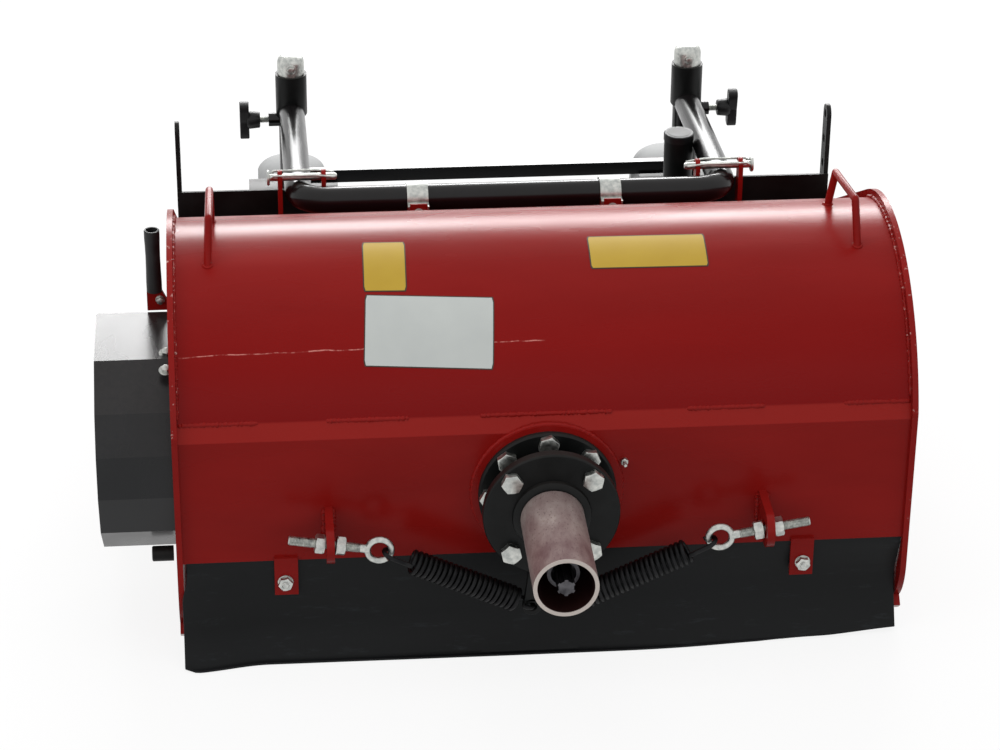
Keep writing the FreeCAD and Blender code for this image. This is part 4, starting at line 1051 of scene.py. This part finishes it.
gripForm = {
    "profile": [(6, 70), (7.4, 70), (8, 69.4), (8, 60), (7.7, 52), (7.5, 40), (7.7, 24), (8, 12), (8, 0.4),
                (0, 0.4), (0, 48), (6, 48), (6, 70)],       # bulges for the fingers, and open at the top
    "bolt": (5.5, -3, -8.5),
}
low, high = nodeBox("lever_grip")
gripFoot = Vector(((low.x + high.x) / 2, (low.y + high.y) / 2, low.z))
piece = addPiece("leverGrip", [placed(turnedShape(gripForm["profile"], 40), gripFoot)], vinyl, "hood")
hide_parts("lever_grip")
leverFace = gripFoot + Vector(gripForm["bolt"])
addPiece("leverBolt", [boltShape(leverFace, backward, 7, 4, (4.8, 1))], zinc, "hood")

# Saddles' lugs and bolts.
saddle = {"aside": 106, "rear": 175, "half": 9.5, "low": 318, "top": 339, "thick": 2.5, "boltHigh": 329,
          "head": (8, 4), "washer": (5.2, 1)}
lugs, bolts = [], []
for side in (-1, 1):
    left, right = side * saddle["aside"] - saddle["half"], side * saddle["aside"] + saddle["half"]
    outline = [(left, saddle["low"]), (right, saddle["low"]), (right, saddle["top"]), (left, saddle["top"])]
    plate, faces = extrudedShape(outline, 0, saddle["thick"])
    lugs.append(([Vector((x, saddle["rear"] - depth, up)) for x, up, depth in plate], faces))
    spot = (side * saddle["aside"], saddle["rear"] - saddle["thick"], saddle["boltHigh"])
    bolts.append(boltShape(spot, backward, *saddle["head"], saddle["washer"]))
addPiece("saddleLugs", lugs, redSmall, "hood", bevel=0.6)
addPiece("saddleBolts", bolts, zinc, "hood")

# Lock pins: a shank with a lead-in, a head, and a wire bail down each side.
pinForm = {"radius": 4, "tip": 2.6, "lead": 2.2, "head": 8.4, "headThick": 3.2, "edge": 0.8, "bail": 1.4}
radius, head, thick, edge = (pinForm[key] for key in ("radius", "head", "headThick", "edge"))
for side, word in ((-1, "left"), (1, "right")):
    low, high = nodeBox("lock_pin_" + word)
    middle = (low + high) / 2
    inner, outer = sorted((abs(low.x), abs(high.x)))
    start = Vector((side * inner, middle.y, middle.z))
    end = Vector((side * (outer - 0.2), middle.y, middle.z))
    outward = Vector((side, 0, 0))
    long = (end - start).length
    shank = turnedShape([(0, 0), (pinForm["tip"], 0), (radius, pinForm["lead"]), (radius, long),
                         (0, long)], 28)
    disc = turnedShape([(0, 0), (head - edge, 0), (head, edge), (head, thick - edge), (head - edge, thick),
                        (0, thick)], 32)
    shapes = [placed(shank, start, outward), placed(disc, end - outward * thick, outward)]
    for lift in (-1, 1):
        rod = [end + Vector((-side * 4, lift * 6.2, 2)), end + Vector((-side * 8, lift * 7.2, 4.6)),
               start.lerp(end, 0.3) + Vector((0, lift * 7.2, 4.6)),
               start + Vector((side * 3.5, lift * 6.6, 2)), start + Vector((side * 3.5, lift * 1.5, 0))]
        shapes.append(sweptShape(sampled(rod, 5), circle(pinForm["bail"], 10)))
    piece = addPiece("lockPin" + word.title(), shapes, zinc, "hood")
    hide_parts("lock_pin_" + word)

knobForm = {"wingHalf": 24, "waist": 8.2, "wingThick": 11, "wingWide": 15, "wingTurn": 8, "hubLong": 13,
            "stud": 3.9, "pitch": 1.5, "hub": [(0, 0), (8.5, 0), (9.4, 1), (10.5, 12), (9, 16), (0, 16)]}


# A wing knob in profile: two rounded lobes with a waist.
def wingOutline():
    waist, steps = knobForm["waist"], 28
    points = []
    for k in range(steps):
        angle = 2 * math.pi * k / steps
        lobe = abs(math.sin(angle))
        reach = waist + (knobForm["wingHalf"] - waist) * lobe ** 2.4
        width = knobForm["wingWide"] / 2 * (0.86 + 0.2 * lobe)
        across = min(abs(math.cos(angle)) * reach * 1.15, width)
        points.append((math.copysign(across, math.cos(angle)), reach * math.sin(angle)))
    return points


for side, word in ((-1, "left"), (1, "right")):
    low, high = nodeBox("knob_" + word)
    middle = (low + high) / 2
    inner, outer = sorted((abs(low.x), abs(high.x)))
    outward = Vector((side, 0, 0))
    tip = Vector((side * outer, middle.y, middle.z))
    wing = extrudedShape(wingOutline(), 0, knobForm["wingThick"])
    wings = placed(wing, tip - outward * knobForm["wingThick"], outward, knobForm["wingTurn"] * side)
    hub = turnedShape(knobForm["hub"], 36)
    reach = knobForm["wingThick"] + knobForm["hubLong"]
    shapes = [wings, placed(hub, tip - outward * reach, outward)]
    piece = addPiece("knob" + word.title(), shapes, nylon, "hood", sharp=40, bevel=1.8)
    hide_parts("knob_" + word)
    start = Vector((side * inner, middle.y, middle.z))
    stud = threadedShape(knobForm["stud"], knobForm["pitch"], outer - reach - inner + 2)
    addPiece("knobStud" + word.title(), [placed(stud, start, outward)], zinc, "hood")

# Stem caps: a domed cap and its cross bolt, over a black head that reaches down the sleeve.
caps = {"aside": 235, "forward": 510, "foot": 356.5, "top": 380.3, "radius": 15.8,
        "bolt": (8, 4), "washer": (6, 1), "boltHigh": 367,
        "headFoot": 305, "headTop": 356.2, "headOuter": 18.4, "headInner": 15.4}
foot, top, radius = caps["foot"], caps["top"], caps["radius"]
dome = turnedShape([(0, foot), (radius, foot), (radius, top - 9), (radius - 1.2, top - 5),
                    (radius - 4.4, top - 2), (radius - 9, top - 0.4), (0, top)], 48)
foot, top, inner, outer = caps["headFoot"], caps["headTop"], caps["headInner"], caps["headOuter"]
collar = ringShape([(inner, foot), (outer - 0.8, foot), (outer, foot + 1.5), (outer, top), (inner, top)], 48)
for side, word in ((-1, "left"), (1, "right")):
    spot = (side * caps["aside"], caps["forward"], 0)
    face = (side * caps["aside"], caps["forward"] - caps["radius"] + 0.3, caps["boltHigh"])
    crossBolt = boltShape(face, backward, *caps["bolt"], caps["washer"], 10)
    shapes = [placed(dome, spot), crossBolt]
    piece = addPiece("stemCap" + word.title(), shapes, zinc, "caster_" + word, sharp=50)
    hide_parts("stem_cap_" + word)
    addPiece("headCollar" + word.title(), [placed(collar, spot)], powderBlack, "hood")

# Stub post: a pressed cap with a turned lip.
low, high = nodeBox("capped_socket")
lipProfile = [(16.6, -9), (17.2, -9), (17.2, -1.5), (16.2, -0.4), (12, -0.05), (12, -0.6), (16.4, -1.2)]
lipPlace = ((low.x + high.x) / 2, (low.y + high.y) / 2, high.z)
addPiece("socketCapLip", [placed(ringShape(lipProfile, 48), lipPlace)], nylon, "hood")
print("fittings done")

# Bolts of the guard bars and of the rotor's bearing, and the heads of the flails' pins.
guard = {"face": 300.2, "heights": (150, 210, 270), "aside": 351, "head": (10, 4), "washer": (8, 1.2)}
bolts = []
for side in (-1, 1):
    for height in guard["heights"]:
        spot = (side * guard["aside"], guard["face"], height)
        bolts.append(boltShape(spot, (0, 1, 0), *guard["head"], guard["washer"]))
addPiece("guardBolts", bolts, zinc, "hood")
bearing = {"x": 383, "forward": 50, "high": 135, "circle": 36, "count": 4,
           "head": (13, 6), "washer": (9, 1.4)}
bolts = []
for k in range(bearing["count"]):
    angle = math.radians(45) + 2 * math.pi * k / bearing["count"]
    spot = (bearing["x"], bearing["forward"] + bearing["circle"] * math.cos(angle),
            bearing["high"] + bearing["circle"] * math.sin(angle))
    bolts.append(boltShape(spot, (1, 0, 0), *bearing["head"], bearing["washer"], 20 * k))
addPiece("bearingBolts", bolts, zinc, "hood")
flails = {"pitch": 168, "count": 4, "rows": 4, "radial": 52, "half": 10.3, "head": (13, 4.5)}
heads = []
for row in range(flails["rows"]):
    angle = 2 * math.pi * row / flails["rows"]
    offset = ((row + 0.5) / flails["rows"] - flails["count"] / 2) * flails["pitch"]
    for k in range(flails["count"]):
        for way in (-1, 1):
            spot = (offset + k * flails["pitch"] + way * flails["half"],
                    bearing["forward"] + flails["radial"] * math.cos(angle),
                    bearing["high"] + flails["radial"] * math.sin(angle))
            heads.append(placed(hexShape(*flails["head"]), spot, (way, 0, 0), 15 * k))
addPiece("flailPinHeads", heads, darkSteel, "rotor")
print("rotor done")

# Wheels: round-crowned tyre, ribs on the centre, axle nuts.
wheel = {
    "radius": 100, "wide": 82, "rim": 62, "shoulder": 78, "crown": 24, "aside": 235, "forward": 610,
    "ribs": 6, "ribHalf": 1.8, "ribFrom": 3.5,
    "ribOutline": [(21, 0), (57, 0), (57, 22), (50, 22), (30, 34), (21, 38)],       # radius and distance out
    "nut": (17, 5), "nutFrom": 53.2,
}


# Half the section is the tread, swept over the shoulders; below them the sides draw in to the rim.
def tyreProfile():
    half, rim = wheel["wide"] / 2, wheel["rim"]
    shoulder = math.radians(wheel["shoulder"])
    tread = []
    for k in range(25):
        turn = shoulder * (k / 12 - 1)
        reach = wheel["radius"] - wheel["crown"] * (1 - math.cos(turn)) ** 1.15
        tread.append((min(reach, wheel["radius"] - 0.1), half * math.sin(turn) / math.sin(shoulder)))
    wall = [(rim + 10, half - 0.4), (rim + 9, half - 2), (rim + 3, half - 6), (rim + 0.1, half - 8)]
    return [(reach, -height) for reach, height in wall[::-1]] + tread + wall


for side, word in ((-1, "left"), (1, "right")):
    axle = Vector((side * wheel["aside"], wheel["forward"], wheel["radius"]))
    tyre = placed(ringShape(tyreProfile(), 96), axle, (1, 0, 0))
    piece = addPiece("tyre" + word.title(), [tyre], tyreRubber, "wheel_" + word, sharp=40)
    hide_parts("tyre_" + word)
    blade, faces = extrudedShape(wheel["ribOutline"], -wheel["ribHalf"], wheel["ribHalf"])
    ribs = []
    for k in range(wheel["ribs"]):
        spoke = Matrix.Rotation(2 * math.pi * k / wheel["ribs"], 3, "X")
        for way in (-1, 1):
            rib = [axle + spoke @ Vector((way * (out + wheel["ribFrom"]), reach, thick))
                   for reach, out, thick in blade]
            ribs.append((rib, faces))
    addPiece("wheelRibs" + word.title(), ribs, polypropylene, "wheel_" + word, bevel=0.7)
    nuts = []
    for way in (-1, 1):
        spot = axle + Vector((way * wheel["nutFrom"], 0, 0))
        nuts.append(placed(hexShape(*wheel["nut"]), spot, (way, 0, 0)))
    addPiece("axleNuts" + word.title(), nuts, zinc, "caster_" + word)
print("wheels done")


# Floor, light and camera. White is what the camera sees, straight, in a mirror or through glass.
def addSeen(tree):
    path = addNode(tree, "LightPath")
    bounced = addNode(tree, "Math", {"operation": "MAXIMUM"},
                      {0: (path, "Is Glossy Ray"), 1: (path, "Is Transmission Ray")}), "Value"
    return addNode(tree, "Math", {"operation": "MAXIMUM"}, {0: (path, "Is Camera Ray"), 1: bounced}), "Value"


stage = {"half": 6, "below": 0.0002, "glow": 0.86}      # metres, and how much of the floor is plain white
floorMaterial, tree, shader, coords = startMaterial("paleFloor", {
    "Base Color": linear("#8f8f8f"), "Roughness": 0.9,
})
white = addNode(tree, "Emission", {"Color": (1, 1, 1, 1), "Strength": 1})
paper = addNode(tree, "BsdfDiffuse", {"Color": linear("#f6f6f6")})
glow = addNode(tree, "MixShader", {0: stage["glow"]}, {1: (paper, "BSDF"), 2: (white, "Emission")})
pick = addNode(tree, "MixShader", {}, {0: addSeen(tree), 1: (shader, "BSDF"), 2: (glow, "Shader")})
output = next(node for node in tree.nodes if node.type == "OUTPUT_MATERIAL")
tree.links.new(pick.outputs["Shader"], output.inputs["Surface"])
floorMesh = bpy.data.meshes.new("floor")
half, level = stage["half"], groundZ - stage["below"]
floorMesh.from_pydata([(x * half, y * half, level) for x, y in ((-1, -1), (1, -1), (1, 1), (-1, 1))], [],
                      [(0, 1, 2, 3)])
floorMesh.materials.append(floorMaterial)
floor = bpy.data.objects.new("floor", floorMesh)
bpy.context.scene.collection.objects.link(floor)

studio = {"diffuse": 0.6}      # what the soft surroundings give every surface
scene = bpy.context.scene
world = bpy.data.worlds.new("studio")
scene.world = world
world.use_nodes = True
tree = world.node_tree
tree.nodes.clear()
soft = addNode(tree, "Background", {"Color": (1, 1, 1, 1), "Strength": studio["diffuse"]})
plain = addNode(tree, "Background", {"Color": (1, 1, 1, 1), "Strength": 1})
final = addNode(tree, "MixShader", {}, {0: addSeen(tree), 1: (soft, "Background"), 2: (plain, "Background")})
addNode(tree, "OutputWorld", links={"Surface": (final, "Shader")})

# Place and aim in the frame's metres, size in metres and power in watts. One lamp shows in gloss.
lamps = {
    "softbox": ((0.3, 4.4, 1.72), (0, 0.4, 0.1), (3.4, 1.1), 190),
    "overhead": ((0, 0.2, 2.8), (0, 0.4, 0), (2.8, 1.8), 20),
    "fromLeft": ((-2.8, -0.8, 1.3), (0, 0.3, 0), (1.8, 1.8), 20),
    "fromFront": ((0.4, -4.2, 2.0), (0, 0.2, 0), (4.0, 2.4), 40),
}
for name, (place, aim, size, power) in lamps.items():
    light = bpy.data.lights.new(name, "AREA")
    light.shape = "RECTANGLE"
    light.size, light.size_y = size
    light.energy = power
    holder = bpy.data.objects.new(name, light)
    holder.location = place
    holder.rotation_euler = (Vector(aim) - Vector(place)).to_track_quat("-Z", "Y").to_euler()
    holder.visible_glossy = name == "softbox"
    scene.collection.objects.link(holder)

# Metres, radians down from level, to the right and about the axis, and millimetres of lens.
view = {"place": (-0.2970, -2.5074, 1.5788), "down": 0.49053, "aside": 0.09193, "roll": 0.00949,
        "lens": 111.6}
camera = bpy.data.cameras.new("camera")
camera.lens = view["lens"]
holder = bpy.data.objects.new("camera", camera)
turn = Matrix.Rotation(-view["aside"], 4, "Z") @ Matrix.Rotation(math.pi / 2 - view["down"], 4, "X")
holder.matrix_world = Matrix.Translation(view["place"]) @ turn @ Matrix.Rotation(view["roll"], 4, "Z")
scene.collection.objects.link(holder)
scene.camera = holder
scene.view_settings.view_transform = "Standard"
print("stage, light and camera set")
